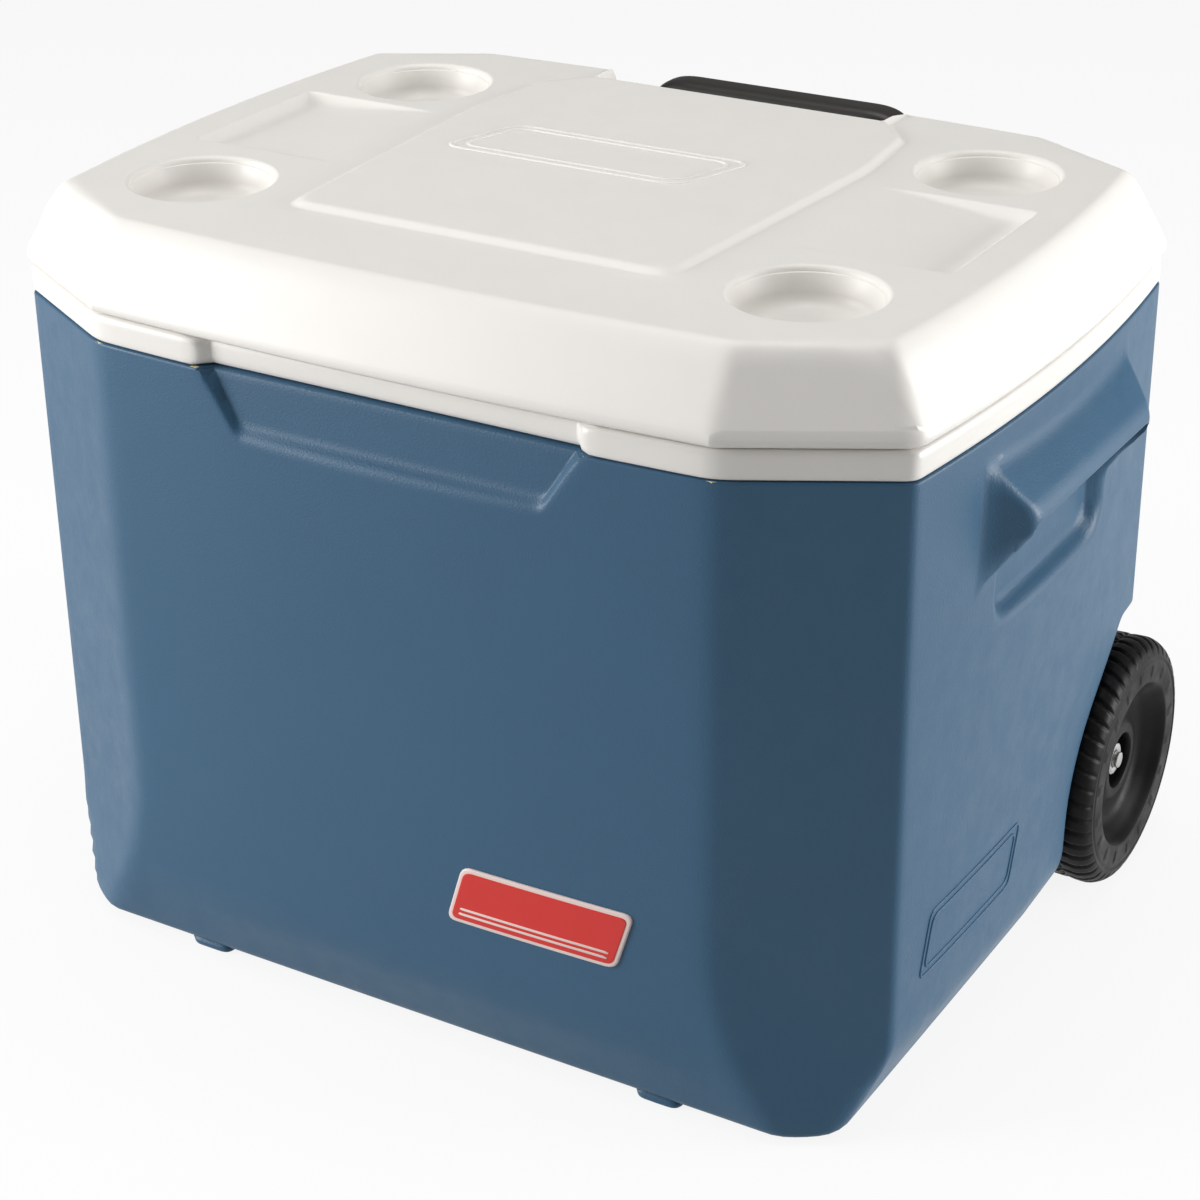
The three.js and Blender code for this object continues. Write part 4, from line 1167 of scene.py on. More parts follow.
    def channel(self) -> Shape:
        """Three-sided channel for the axle under the chest: a U outline carried along X.

        Returns:
            The channel.
        """
        half, top = 0.007, self.pocket.axle_z + 0.007
        low, thick = self.underside, 0.0025
        outline = np.array([[-half - thick, low], [-half, low], [-half, top], [half, top], [half, low],
                            [half + thick, low], [half + thick, top + thick], [-half - thick, top + thick]])
        ends = np.array([-1.0, 1.0]) * (self.pocket.wall - 0.0002)
        grid = np.zeros((2, len(outline), 3))
        grid[..., 0] = ends[:, None]
        grid[..., 1] = self.pocket.wheel_y + outline[:, 0]
        grid[..., 2] = outline[:, 1]
        shape = Shape()
        base = shape.add_grid(self.plan.place(grid))
        for end in (0, len(outline)):
            loop = [base + end + k for k in range(len(outline))]
            shape.faces += [[loop[0], loop[1], loop[2], loop[7]], [loop[2], loop[3], loop[6], loop[7]],
                            [loop[3], loop[4], loop[5], loop[6]]]
        return shape

    def rest_pads(self) -> Shape:
        """Two front feet: rounded pads lofted from the ground into the underside.

        Returns:
            The two pads.
        """
        shape = Shape()
        spot, size_x, size_y = 0.152, 0.014, 0.017
        middle = -self.bottom_half_y + 0.017
        levels = np.array([[0.0, -0.0015], [0.0006, -0.0004], [0.0015, 0.0],
                           [self.underside + 0.001, 0.0006]])
        turn = np.linspace(0, 2 * np.pi, 48, endpoint=False)
        unit = np.stack([np.cos(turn), np.sin(turn)], axis=1)
        power = np.abs(unit) ** 0.35 * np.sign(unit)
        for side in (-1, 1):
            grid = np.zeros((len(levels), 48, 3))
            grid[..., 0] = side * spot + power[:, 0] * (size_x + levels[:, 1:])
            grid[..., 1] = middle + power[:, 1] * (size_y + levels[:, 1:])
            grid[..., 2] = levels[:, :1]
            poles = [np.array([side * spot, middle, level]) for level in (levels[0, 0], levels[-1, 0])]
            shape.add_grid(self.plan.place(grid), first_pole=self.plan.place(poles[0]),
                           last_pole=self.plan.place(poles[1]))
        return shape

    def wall_x(self, y: Array, z: Array) -> Array:
        """Distance of the right end wall from the middle at given places."""
        bow = 0.35 + 0.65 * (z - self.end_knee) / (self.plan.rim - self.end_knee)
        return self.plan.half_length + self.plan.end_bow * bow * (1.0 - (y / self.plan.edge_y) ** 2)

    def end_emblem(self) -> Shape:
        """Slanted double frame moulded on the right end wall, left blank inside.

        Returns:
            The two outlines.
        """
        shape = Shape()
        for grow in (0.0, -0.0042):
            path = slanted_frame(0.110, 0.037, 0.010, 0.006, grow)
            y, z = path[:, 0] - 0.074, path[:, 1] + 0.102
            track = np.stack([self.wall_x(y, z), y, z], axis=1)
            shape.add_grid(self.plan.place(ridge(track, np.array([1.0, 0.0, 0.0]), 0.0009, 0.0007)),
                           wrap_rows=True)
        return shape

    def make(self, wardrobe: Wardrobe) -> None:
        """Builds the shell, cuts the axle's channel and dresses it.

        Args:
            wardrobe: finishes that the pieces are dressed from.
        """
        shell = self.skin().piece("chest_skin")
        reach, half, top = self.pocket.wall + 0.001, 0.0092, self.pocket.axle_z + 0.009
        axle = np.array([0.0, self.pocket.wheel_y + self.plan.middle_y, 0.0])
        cutter = box_shape(np.array([-reach, -half, -0.01]), np.array([reach, half, top]), axle)
        cut_by(shell, cutter.piece("channel_cutter"))
        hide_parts("body_shell")
        pieces = [shell, self.channel().piece("axle_channel"), self.rest_pads().piece("front_feet"),
                  self.end_emblem().piece("end_emblem")]
        pieces[1].data.set_sharp_from_angle(angle=math.radians(30))
        for piece in pieces:
            wardrobe.put(Dress.CHEST, piece)
            fasten(piece, "chest")


def box_shape(low: Array, high: Array, shift: Array) -> Shape:
    """Plain box between two corners, moved by a shift.

    Args:
        low: one corner.
        high: the opposite corner.
        shift: how far the box is moved.

    Returns:
        The box.
    """
    corners = np.array([[low[0], low[1]], [high[0], low[1]], [high[0], high[1]], [low[0], high[1]]])
    grid = np.stack([np.column_stack([corners, np.full(4, z)]) for z in (low[2], high[2])])
    shape = Shape()
    base = shape.add_grid(grid + shift)
    shape.faces += [[base + 3, base + 2, base + 1, base], [base + 4, base + 5, base + 6, base + 7]]
    return shape


def slanted_frame(length: float, height: float, slant: float, corner: float, grow: float = 0.0) -> Array:
    """Closed outline of a slanted frame with round corners.

    Args:
        length: size along the first coordinate.
        height: size along the second.
        slant: how far the top is shifted from the bottom.
        corner: reach of the corners' rounding.
        grow: outline moved outwards by this much.

    Returns:
        Points of the outline about its middle.
    """
    half_a, half_b = length / 2 + grow, height / 2 + grow
    lean = slant / height
    corners = [(sign_a * half_a + sign_b * half_b * lean, sign_b * half_b, corner)
               for sign_a, sign_b in ((-1, -1), (1, -1), (1, 1), (-1, 1))]
    return refined(rounded_profile(corners), 0.002)


def ridge(track: Array, out: Array, half: float, height: float, sides: int = 10) -> Array:
    """Low round ridge along a closed track.

    At each point the section is an ellipse, half across the track and height along the outward direction.

    Args:
        track: points of the closed track.
        out: outward direction.
        half: half width of the ridge.
        height: how far it stands out.
        sides: points round the section.

    Returns:
        Grid of points, one row for each point of the track.
    """
    along = np.roll(track, -1, axis=0) - np.roll(track, 1, axis=0)
    along /= np.linalg.norm(along, axis=1, keepdims=True)
    across = np.cross(along, out)
    turn = np.linspace(0, 2 * np.pi, sides, endpoint=False)
    return (track[:, None] + half * np.cos(turn)[None, :, None] * across[:, None]
            + height * np.sin(turn)[None, :, None] * out)


# ---- Liner --------------------------------------------------------------------------------------
@dataclass
class InnerLiner:
    """White tub with its rim band, which steps in over the front recess."""

    shell: ChestShell
    half_x: float = 0.243
    front: float = -0.177
    back: float = 0.151
    corner: float = 0.040
    floor: float = 0.048
    floor_round: float = 0.030
    thick: float = 0.0025
    mouth_round: float = 0.004
    step_x: float = 0.217
    step_y: float = 0.049
    step_z: float = 0.196
    axle_y: float = 0.124
    axle_step: float = 0.102
    columns: int = 420

    def tub(self, x: Array, y: Array, z: Array) -> Array:
        """Distance outside the food space: a rounded box with steps over the wheels and the axle.

        Args:
            x: first plan coordinate, from the middle.
            y: second plan coordinate, from the middle.
            z: height above the ground.

        Returns:
            Negative in the food space.
        """
        middle = (self.front + self.back) / 2
        space = rounded_rectangle(x, y - middle, self.half_x, (self.back - self.front) / 2, self.corner)
        wheel = smooth_max(smooth_max(self.step_x - np.abs(x), self.step_y - y, 0.02), z - self.step_z, 0.012)
        axle = smooth_max(self.axle_y - y, z - self.axle_step, 0.012)
        space = smooth_max(space, -wheel, 0.012)
        space = smooth_max(space, -axle, 0.012)
        return smooth_max(space, self.floor - z, self.floor_round)

    def band(self, x: Array, y: Array, z: Array) -> Array:
        """Distance outside the rim band.

        Args:
            x: first plan coordinate, from the middle.
            y: second plan coordinate, from the middle.
            z: height above the ground.

        Returns:
            Negative in the band.
        """
        plan = self.shell.plan
        low, high = plan.rim + 0.0003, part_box("inner_liner")[1].z
        form = plan.outline(x, y)
        form = smooth_max(form, z - high, 0.004)
        form = smooth_max(form, low - z, 0.003)
        recess = self.shell.recess.hollow(plan, x, y, z)
        seat = np.maximum(self.shell.hinge_seat - y,
                          np.abs(np.abs(x) - self.shell.hinge_x) - self.shell.hinge_half)
        return smooth_max(smooth_max(form, -recess, 0.006), -seat, 0.001)

    def grown(self, x: Array, y: Array, z: Array) -> Array:
        """Distance outside the food space grown by the liner's thickness."""
        return self.tub(x, y, z) - self.thick

    def make(self, wardrobe: Wardrobe) -> None:
        """Builds the liner as one closed grid of rings and dresses it.

        Args:
            wardrobe: finishes that the pieces are dressed from.
        """
        plan = self.shell.plan
        low, high = plan.rim + 0.0003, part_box("inner_liner")[1].z
        crowds = []
        spots = ((plan.edge_x, plan.half_depth, 0.012, 5), (plan.half_length, plan.edge_y, 0.012, 5),
                 (self.shell.recess.half_top, plan.half_depth, 0.016, 9), (0.215, 0.150, 0.06, 3),
                 (self.step_x, self.step_y, 0.03, 5))
        for x, y, reach, gain in spots:
            for sign_x in (-1, 1):
                for sign_y in (-1, 1):
                    crowds.append((math.atan2(sign_y * y, sign_x * x) % (2 * math.pi), reach, gain))
        angles = spread(0.0, 2 * math.pi, self.columns + 1, crowds)[:-1]
        turns = [(self.floor, 0.012, 14), (self.step_z, 0.006, 12), (self.axle_step, 0.006, 10)]
        inside = spread(self.floor + 0.0002, high - self.mouth_round, 64, turns)
        wall = ring_points(first_crossing(self.tub, angles, inside, (0.05, 0.30)), angles, inside)
        lip = np.linspace(0.0, np.pi / 2, 6)[1:]
        edge = wall[-1][None] * np.ones((len(lip), 1, 1))
        length = np.linalg.norm(edge[..., :2], axis=-1, keepdims=True)
        edge[..., :2] *= 1.0 + self.mouth_round * (1.0 - np.cos(lip))[:, None, None] / length
        edge[..., 2] = (high - self.mouth_round + self.mouth_round * np.sin(lip))[:, None]
        outside = spread(low + 0.00002, high - 0.00002, 16, [(low, 0.001, 8), (high, 0.001, 12)])[::-1]
        rim = ring_points(first_crossing(self.band, angles, outside, (0.17, 0.34)), angles, outside)
        under = np.concatenate([[low], np.linspace(low - 0.004, self.step_z + 0.01, 6),
                                np.linspace(self.step_z + 0.004, self.axle_step + 0.01, 6),
                                np.linspace(self.axle_step + 0.004, self.floor - self.thick + 0.0004, 8)])
        back = ring_points(first_crossing(self.grown, angles, under, (0.05, 0.31)), angles, under)
        shares = np.array([0.3, 0.7, 0.95])[:, None, None]
        top_floor, low_floor = wall[:1] * shares, back[-1:] * shares[::-1]
        top_floor[..., 2] = self.floor
        low_floor[..., 2] = self.floor - self.thick
        rows = np.concatenate([top_floor, wall, edge, rim, back, low_floor])
        shape = Shape()
        shape.add_grid(plan.place(rows), first_pole=plan.place(np.array([0, 0, self.floor])),
                       last_pole=plan.place(np.array([0, 0, self.floor - self.thick])))
        liner = shape.piece("food_liner")
        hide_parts("inner_liner")
        wardrobe.put(Dress.LINER, liner)
        fasten(liner, "chest")


# ---- Lid ----------------------------------------------------------------------------------------
@dataclass
class Lid:
    """Lid skin: sloping sides, raised panel, wedge trays, cup holders and the notch for the tow grip."""

    plan: RimPlan
    overhang: float = 0.0012
    lip: float = 0.007
    inset_end: float = 0.021
    inset_long: float = 0.020
    inset_facet: float = 0.018
    top_round: float = 0.011
    straight_half: float = 0.120
    eased_half: float = 0.245
    panel_front: float = -0.127
    panel_rise: float = 0.003
    notch_half: float = 0.096
    notch_flare: float = 0.009
    notch_front: float = 0.164
    cup_x: float = 0.187
    cup_y: float = 0.110
    cup_radius: float = 0.0395
    cup_depth: float = 0.020
    tray_outer: float = 0.238
    tray_inner: float = 0.146
    tray_front: float = -0.052
    tray_back: float = 0.060
    tray_depth: float = 0.007

    def __post_init__(self) -> None:
        """Reads the lid's levels from the model."""
        low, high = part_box("lid_shell")
        self.low, self.top = low.z, high.z - self.panel_rise

    def half_width(self, y: Array) -> Array:
        """Half width of the lip's outline at y: the bowed end wall or the corner facet.

        Args:
            y: second plan coordinate, from the middle.

        Returns:
            Half width at each place.
        """
        plan = self.plan
        end = plan.half_length + plan.end_bow * (1.0 - (y / plan.edge_y) ** 2)
        facet = plan.half_length - (np.abs(y) - plan.edge_y) * plan.facet_x / plan.facet_y
        return smooth_min(end, facet, 0.006) + self.overhang

    def places(self) -> tuple[Array, Array]:
        """Plan places of the top's grid: straight lines in the middle, eased out to the lip's outline.

        Returns:
            The two plan coordinates of each grid point.
        """
        plan = self.plan
        half_a, half_b = plan.half_length, plan.half_depth + self.overhang
        side = [(self.notch_half, 0.005, 8), (0.131, 0.005, 6), (0.121, 0.007, 5),
                (self.tray_inner, 0.006, 2),
                (self.tray_outer, 0.004, 9), (0.254, 0.010, 7), (half_a, 0.006, 4), (0.103, 0.004, 5)]
        depth = [(self.tray_front, 0.005, 8), (self.tray_back, 0.005, 8), (self.panel_front, 0.005, 9),
                 (-0.186, 0.011, 7),
                 (0.186, 0.011, 6), (0.150, 0.012, 4), (-half_b, 0.005, 3), (half_b, 0.004, 6)]
        crowds = [(sign * place, reach, gain) for place, reach, gain in side for sign in (-1, 1)]
        a = spread(-half_a, half_a, 261, crowds)[None, :]
        b = spread(-half_b, half_b, 181, depth)[:, None]
        x_limit = self.half_width(np.abs(b))
        near, far = self.straight_half, self.eased_half
        outer = np.minimum(far, near + (x_limit - near) * (far - near) / (half_a - near))
        size = np.abs(a)
        middle = near + (size - near) / (far - near) * (outer - near)
        edge = outer + (size - far) / (half_a - far) * (x_limit - outer)
        x = np.sign(a) * np.where(size < near, size, np.where(size < far, middle, edge))
        bow = plan.long_bow * np.clip(1.0 - (x / plan.edge_x) ** 2, 0.0, None)
        y = b + np.sign(b) * bow * smooth_step(np.abs(b), 0.15, half_b)
        flare = np.clip((np.abs(x) - self.notch_half) / self.notch_flare, 0.0, 1.0)
        back = self.notch_front + (half_b + bow - self.notch_front) * flare
        start = 0.130
        y = np.where(b > start, start + (b - start) / (half_b - start) * (back - start), y)
        return x, y

    def panel(self, x: Array, y: Array) -> Array:
        """Distance outside the raised panel, whose half width changes along its depth."""
        half = np.interp(y, [self.panel_front, 0.075, 0.137, self.notch_front], [0.119, 0.131, 0.124, 0.102])
        return smooth_max(np.abs(x) - half, self.panel_front - y, 0.012)

    def height(self, x: Array, y: Array) -> Array:
        """Height of the lid's top: the lowest of the side slopes and the flat, raised and sunk in places.

        Args:
            x: first plan coordinate, from the middle.
            y: second plan coordinate, from the middle.

        Returns:
            Height of each point.
        """
        plan = self.plan
        base, rise = self.low + self.lip, self.top - self.low - self.lip
        end = base - (plan.end(x, y) - self.overhang) * rise / self.inset_end
        long = base - (plan.long(x, y) - self.overhang) * rise / self.inset_long
        facet = base - (plan.facet(x, y) - self.overhang) * rise / self.inset_facet
        slopes = smooth_min(smooth_min(end, long, 0.004), facet, 0.004)
        flat = self.top + self.panel_rise * smooth_step(-self.panel(x, y), 0.0, 0.0055)
        along = (np.abs(x) - self.tray_inner) / (self.tray_outer - self.tray_inner)
        wedge = self.tray_depth * np.clip(along, 0, None)
        steep = 0.9
        walls = smooth_min((y - self.tray_front) * steep, (self.tray_back - y) * steep, 0.004)
        walls = smooth_min(walls, (self.tray_outer - np.abs(x)) * steep, 0.004)
        sunk = np.maximum(smooth_min(wedge, walls, 0.0025), 0.0)
        top = smooth_min(slopes, flat - sunk, self.top_round)
        near = np.clip((self.notch_front - y) / 0.003, 0.0, 1.0)
        beside = np.clip((np.abs(x) - self.notch_half) / 0.003, 0.0, 1.0)
        gap = np.where(y < self.notch_front, near, beside)
        close = np.where(np.abs(x) < self.notch_half + 0.002, gap, 1.0)
        drop = 0.003 * (1.0 - np.sqrt(1.0 - (1.0 - close) ** 2))
        return top - drop

    def cup_profile(self) -> Array:
        """Outline of a cup holder as height and radius, from its floor's middle to above the lid.

        Returns:
            Points as height and radius.
        """
        depth, radius = self.cup_depth, self.cup_radius
        floor, mouth_round = self.top - depth, 0.0035
        turn = np.linspace(0.0, np.pi / 2, 9)
        bottom = np.stack([floor + 0.009 * (1 - np.cos(turn)), radius - 0.013 + 0.009 * np.sin(turn)], axis=1)
        wall = np.array([[self.top - mouth_round, radius - 0.0008]])
        ease = np.linspace(0.1, np.pi / 2 - 0.12, 7)
        mouth = np.stack([self.top - mouth_round + mouth_round * np.sin(ease),
                          radius + 0.003 * (1 - np.cos(ease))], axis=1)
        tail = np.array([[self.top + 0.004, radius + 0.0040]])
        ends = np.array([[floor, 0.0]]), np.array([[self.top + 0.004, 0.0]])
        return np.concatenate([ends[0], bottom, wall, mouth, tail, ends[1]])

    def skin(self) -> Shape:
        """Top, lip and inner edge of the lid as a grid with rows carried round its border.

        Returns:
            The closed skin.
        """
        x, y = self.places()
        grid = np.stack([x, y, self.height(x, y)], axis=-1)
        rows, columns = grid.shape[:2]
        shape = Shape()
        base = shape.add_grid(self.plan.place(grid), wrap_columns=False)
        number = np.arange(rows * columns).reshape(rows, columns)
        loop = np.concatenate([number[0, :-1], number[:-1, -1], number[-1, :0:-1], number[:0:-1, 0]])
        border = grid.reshape(-1, 3)[loop]
        along = np.roll(border, -1, axis=0)[:, :2] - np.roll(border, 1, axis=0)[:, :2]
        out = np.stack([along[:, 1], -along[:, 0]], axis=1)
        out /= np.linalg.norm(out, axis=1, keepdims=True)
        profile = [(0.0003, 0.0060), (0.0007, 0.0045), (0.0008, 0.0030), (0.0005, 0.0014), (-0.0003, 0.0004),
                   (-0.0015, 0.0), (-0.0030, 0.0), (-0.0031, 0.0026)]
        skirt = np.stack([np.column_stack([border[:, :2] + out * step,
                                           np.full(len(border), self.low + level)])
                          for step, level in profile])
        pole = self.plan.place(np.array([0, 0, self.low + profile[-1][1]]))
        first = shape.add_grid(self.plan.place(skirt), last_pole=pole)
        ring, below = base + loop, first + np.arange(len(loop))
        joined = np.stack([ring, np.roll(ring, -1), np.roll(below, -1), below], axis=-1)
        shape.faces += joined.tolist()
        return shape

    def emblem(self) -> Shape:
        """Slanted double frame moulded on the raised panel, left blank inside.

        Returns:
            The two outlines.
        """
        shape = Shape()
        for grow, half in ((0.0, 0.0015), (-0.0058, 0.0010)):
            path = slanted_frame(0.153, 0.054, 0.017, 0.012, grow)
            level = np.full(len(path), self.top + self.panel_rise)
            track = np.column_stack([path[:, 0] - 0.015, path[:, 1] + 0.026, level])
            line = ridge(track, np.array([0.0, 0.0, 1.0]), half, 0.0007)
            shape.add_grid(self.plan.place(line), wrap_rows=True)
        return shape

    def make(self, wardrobe: Wardrobe) -> None:
        """Builds the lid, cuts its cup holders and dresses it with its inner pieces.

        Args:
            wardrobe: finishes that the pieces are dressed from.
        """
        skin = self.skin().piece("lid_skin")
        cups = Shape()
        for side in (-1, 1):
            for end in (-1, 1):
                centre = (side * self.cup_x, end * self.cup_y + self.plan.middle_y, 0.0)
                cups.add_turned(self.cup_profile(), 128, "z", centre)
        cut_by(skin, cups.piece("cup_cutter"))
        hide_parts("lid_shell")
        emblem = self.emblem().piece("lid_emblem")
        plate = softened("lid_liner", 0.002, 3)
        for piece, dress in ((skin, Dress.LID), (emblem, Dress.LID), (plate, Dress.LINER)):
            wardrobe.put(dress, piece)
            fasten(piece, "lid")


# ---- Wheels -------------------------------------------------------------------------------------
@dataclass
class Wheel:
    """One-piece moulded wheel: lugged tread, ring band with plain bars, dish and recessed hub."""

    side: int
    lugs: int = 46
    groove: float = 0.0016
    bars: int = 18
    steps: int = 460

    def __post_init__(self) -> None:
        """Reads the wheel's size and place from the model."""
        self.node = "wheel_right" if self.side > 0 else "wheel_left"
        low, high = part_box(self.node)
        self.radius = (high.z - low.z) / 2
        self.width = high.x - low.x
        self.centre = ((low.x if self.side > 0 else high.x), (low.y + high.y) / 2, (low.z + high.z) / 2)

    def outline(self) -> Array:
        """Closed section of the wheel as station across the wheel and radius.

        Returns:
            Points as station and radius.
        """
        r, w = self.radius, self.width
        corners = [(0.0, 0.0053, 0.0004), (0.0, 0.015, 0.001), (0.008, 0.0155, 0.002), (0.009, 0.044, 0.003),
                   (0.003, 0.052, 0.002), (0.003, r - 0.008, 0.002), (0.0065, r - 0.001, 0.003),
                   (w - 0.009, r, 0.004), (w - 0.002, r - 0.0045, 0.003), (w, r - 0.0105, 0.001),
                   (w - 0.0012, r - 0.0113, 0.0004), (w - 0.0012, r - 0.0121, 0.0004),
                   (w - 0.0002, r - 0.013, 0.0008),
                   (w - 0.0002, 0.0515, 0.001), (w - 0.0022, 0.0500, 0.0008), (w - 0.006, 0.0475, 0.002),
                   (w - 0.0145, 0.040, 0.004), (w - 0.0145, 0.030, 0.004), (w - 0.0095, 0.0225, 0.002),
                   (w - 0.0095, 0.0175, 0.001), (w - 0.012, 0.0165, 0.001), (w - 0.018, 0.016, 0.001),
                   (w - 0.018, 0.0053, 0.0004)]
        return refined(rounded_profile(corners, 4), 0.0016)

    def shape(self) -> Shape:
        """The section turned about the axle, with grooves across the tread and bars on the ring band.

        Returns:
            The turned wheel.
        """
        section = self.outline()
        turn = np.linspace(0.0, 2 * np.pi, self.steps, endpoint=False)[None, :]
        across, radius = section[:, :1], section[:, 1:]
        share = across / self.width
        phase = turn * self.lugs / (2 * np.pi) + 0.55 * np.sin(share * np.pi) + 0.5 * (share > 0.5)
        tooth = np.abs(phase - np.floor(phase) - 0.5) * 2.0
        slot = smooth_step(tooth, 0.66, 0.86)
        tread = smooth_step(radius, self.radius - 0.0095, self.radius - 0.006) * (across > 0.002)
        middle = 1.0 - smooth_step(np.abs(share - 0.5), 0.03, 0.06)
        bar_phase = turn * self.bars / (2 * np.pi)
        bar = smooth_step(1.0 - np.abs(bar_phase - np.floor(bar_phase) - 0.5) * 2.0, 0.66, 0.74)
        band = smooth_step(radius, 0.0540, 0.0548) * (1 - smooth_step(radius, 0.0608, 0.0616)) * (share > 0.9)
        shrunk = radius - self.groove * slot * tread - self.groove * 0.8 * middle * tread
        station = (across + 0.0006 * bar * band) * self.side
        grid = np.stack([station + 0.0 * turn, shrunk * np.cos(turn), shrunk * np.sin(turn)], axis=-1)
        shape = Shape()
        shape.add_grid(grid + np.array(self.centre), wrap_rows=True)
        return shape

    def make(self, wardrobe: Wardrobe) -> None:
        """Builds the wheel and dresses it with its nut and spacer.

        Args:
            wardrobe: finishes that the pieces are dressed from.
        """
        word = "right" if self.side > 0 else "left"
        wheel = self.shape().piece(f"moulded_{self.node}")
        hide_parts(self.node)
        wardrobe.put(Dress.TYRE, wheel)
        fasten(wheel, self.node)
        nut = softened(f"push_nut_{word}", 0.0008, 2)
        wardrobe.put(Dress.STEEL, nut)
        fasten(nut, "chest")
        for node in (f"wheel_spacer_{word}", f"axle_clip_{word}"):
            part = softened(node, 0.0008, 2)
            wardrobe.put(Dress.GRIP, part)
            fasten(part, "chest")


# ---- Tow handle ---------------------------------------------------------------------------------
@dataclass
class TowHandle:
    """Black grip over the two telescopic tubes, and the brackets that hold them."""

    tube_x: float = 0.065
    flat_half: float = 0.060
    end_drop: float = 0.013

    def grip(self) -> Shape:
        """A bar whose section is a rounded square; towards the ends its top falls and it thins out.

        Returns:
            The bar and its two necks.
        """
        low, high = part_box("tow_grip")
        half = high.x
        middle_y, deep = (low.y + high.y) / 2, (high.y - low.y) / 2
        tall = 0.024
        turn = np.linspace(0.0, np.pi, 61)
        x = (-np.cos(turn) * (half - 0.0002))[:, None]
        far = np.clip((np.abs(x) - self.flat_half) / (half - self.flat_half), 0.0, 1.0)
        top = high.z - self.end_drop * (1.0 - np.sqrt(np.clip(1.0 - far ** 2.4, 0.0, 1.0)))
        bottom = high.z - tall + 0.007 * far ** 3
        round_off = np.sqrt(np.clip(1.0 - far ** 6, 0.0, 1.0))
        around = np.linspace(0.0, 2 * np.pi, 56, endpoint=False)[None, :]
        power = 0.55
        wide = np.sign(np.cos(around)) * np.abs(np.cos(around)) ** power
        upright = np.sign(np.sin(around)) * np.abs(np.sin(around)) ** power
        y = middle_y + deep * (1.0 - 0.25 * far ** 2) * round_off * wide
        z = (top + bottom) / 2 + (top - bottom) / 2 * np.clip(round_off, 0.02, 1) * upright
        grid = np.stack([x + 0.0 * around, y, z], axis=-1)
        shape = Shape()
        tips = [grid[row].mean(axis=0) for row in (0, -1)]
        shape.add_grid(grid, first_pole=tips[0], last_pole=tips[1])
        for side in (-1, 1):
            neck = np.array([(low.z, 0.0), (low.z, 0.0088), (low.z + 0.0008, 0.0096), (low.z + 0.003, 0.0100),
                             (low.z + 0.009, 0.0104), (low.z + 0.014, 0.0116), (low.z + 0.016, 0.0)])
            shape.add_turned(neck, 48, "z", (side * self.tube_x, middle_y, 0.0))
        return shape

    def make(self, wardrobe: Wardrobe) -> None:
        """Builds the grip and dresses tubes and brackets.

        Args:
            wardrobe: finishes that the pieces are dressed from.
        """
        grip = self.grip().piece("grip_bar")
        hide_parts("tow_grip")
        wardrobe.put(Dress.GRIP, grip)
        fasten(grip, "tow_handle")
        for node in ("handle_top_bracket", "handle_bottom_bracket"):
            bracket = softened(node, 0.0018, 3)
            wardrobe.put(Dress.GRIP, bracket)
            fasten(bracket, "chest")
        for body, stage in (("chest", "outer"), ("tow_middle", "middle"), ("tow_handle", "inner")):
            for side in ("left", "right"):
                tube = softened(f"{stage}_tube_{side}", 0.0003, 1, 60.0)
                wardrobe.put(Dress.TUBE, tube)
                fasten(tube, body)


# ---- Small pieces -------------------------------------------------------------------------------
@dataclass
class Badge:
    """Slanted badge on the front: a pale border with a red field and two pale lines, no lettering."""

    plan: RimPlan
    x: float = 0.088
    z: float = 0.107
    length: float = 0.105
    height: float = 0.036
    slant: float = 0.011
    corner: float = 0.006

    def plate(self, length: float, height: float, corner: float, levels: list[tuple[float, float]],
              shift: tuple[float, float] = (0.0, 0.0)) -> Shape:
        """Low slanted plate on the bowed front wall.

        Its outline is repeated at each level, drawn in towards the top, and closed in the middle.

        Args:
            length: along the wall.
            height: up the wall.
            corner: reach of the corners' rounding.
            levels: how far each ring stands off the wall, and how far it is drawn in.
            shift: middle of the plate from the middle of the badge.

        Returns:
            The plate.
        """
        lean = self.slant / self.height
        rings = []
        for stand, inset in levels:
            path = slanted_frame(length, height, lean * height, corner, 0.0)
            scale = np.array([1.0 - 2 * inset / length, 1.0 - 2 * inset / height])
            path = path * scale + np.array([shift[0] + lean * shift[1], shift[1]])
            x = self.x + path[:, 0]
            wall = self.plan.half_depth + self.plan.long_bow * (1.0 - (x / self.plan.edge_x) ** 2)
            rings.append(np.column_stack([x, -wall - stand, self.z + path[:, 1]]))
        grid = np.stack(rings)
        poles = [grid[row].mean(axis=0) for row in (0, -1)]
        shape = Shape()
        shape.add_grid(self.plan.place(grid), first_pole=self.plan.place(poles[0]),
                       last_pole=self.plan.place(poles[1]))
        return shape

    def make(self, wardrobe: Wardrobe) -> None:
        """Builds and dresses the badge.

        Args:
            wardrobe: finishes that the pieces are dressed from.
        """
        rise = [(-0.0006, 0.0), (0.0007, 0.0), (0.0012, 0.0003), (0.0014, 0.0009), (0.0014, 0.0024)]
        border = self.plate(self.length, self.height, self.corner, rise).piece("badge_border")
        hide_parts("badge_plate")
        field_rise = [(0.0010, 0.0), (0.0016, 0.0), (0.0017, 0.0002), (0.0017, 0.0012)]
        rim = 0.005
        red = self.plate(self.length - rim, self.height - rim, self.corner - 0.0015, field_rise)
        pieces = [(border, Dress.BADGE_EDGE), (red.piece("badge_field"), Dress.BADGE_FIELD)]
        line_rise = [(0.0014, 0.0), (0.0019, 0.0), (0.0020, 0.0002)]
        for index, drop in enumerate((0.0085, 0.0118)):
            line = self.plate(self.length - 0.013, 0.0014, 0.0005, line_rise, (0.0, -drop))
            pieces.append((line.piece(f"badge_line_{index + 1}"), Dress.BADGE_EDGE))
        for piece, dress in pieces:
            wardrobe.put(dress, piece)
            fasten(piece, "chest")


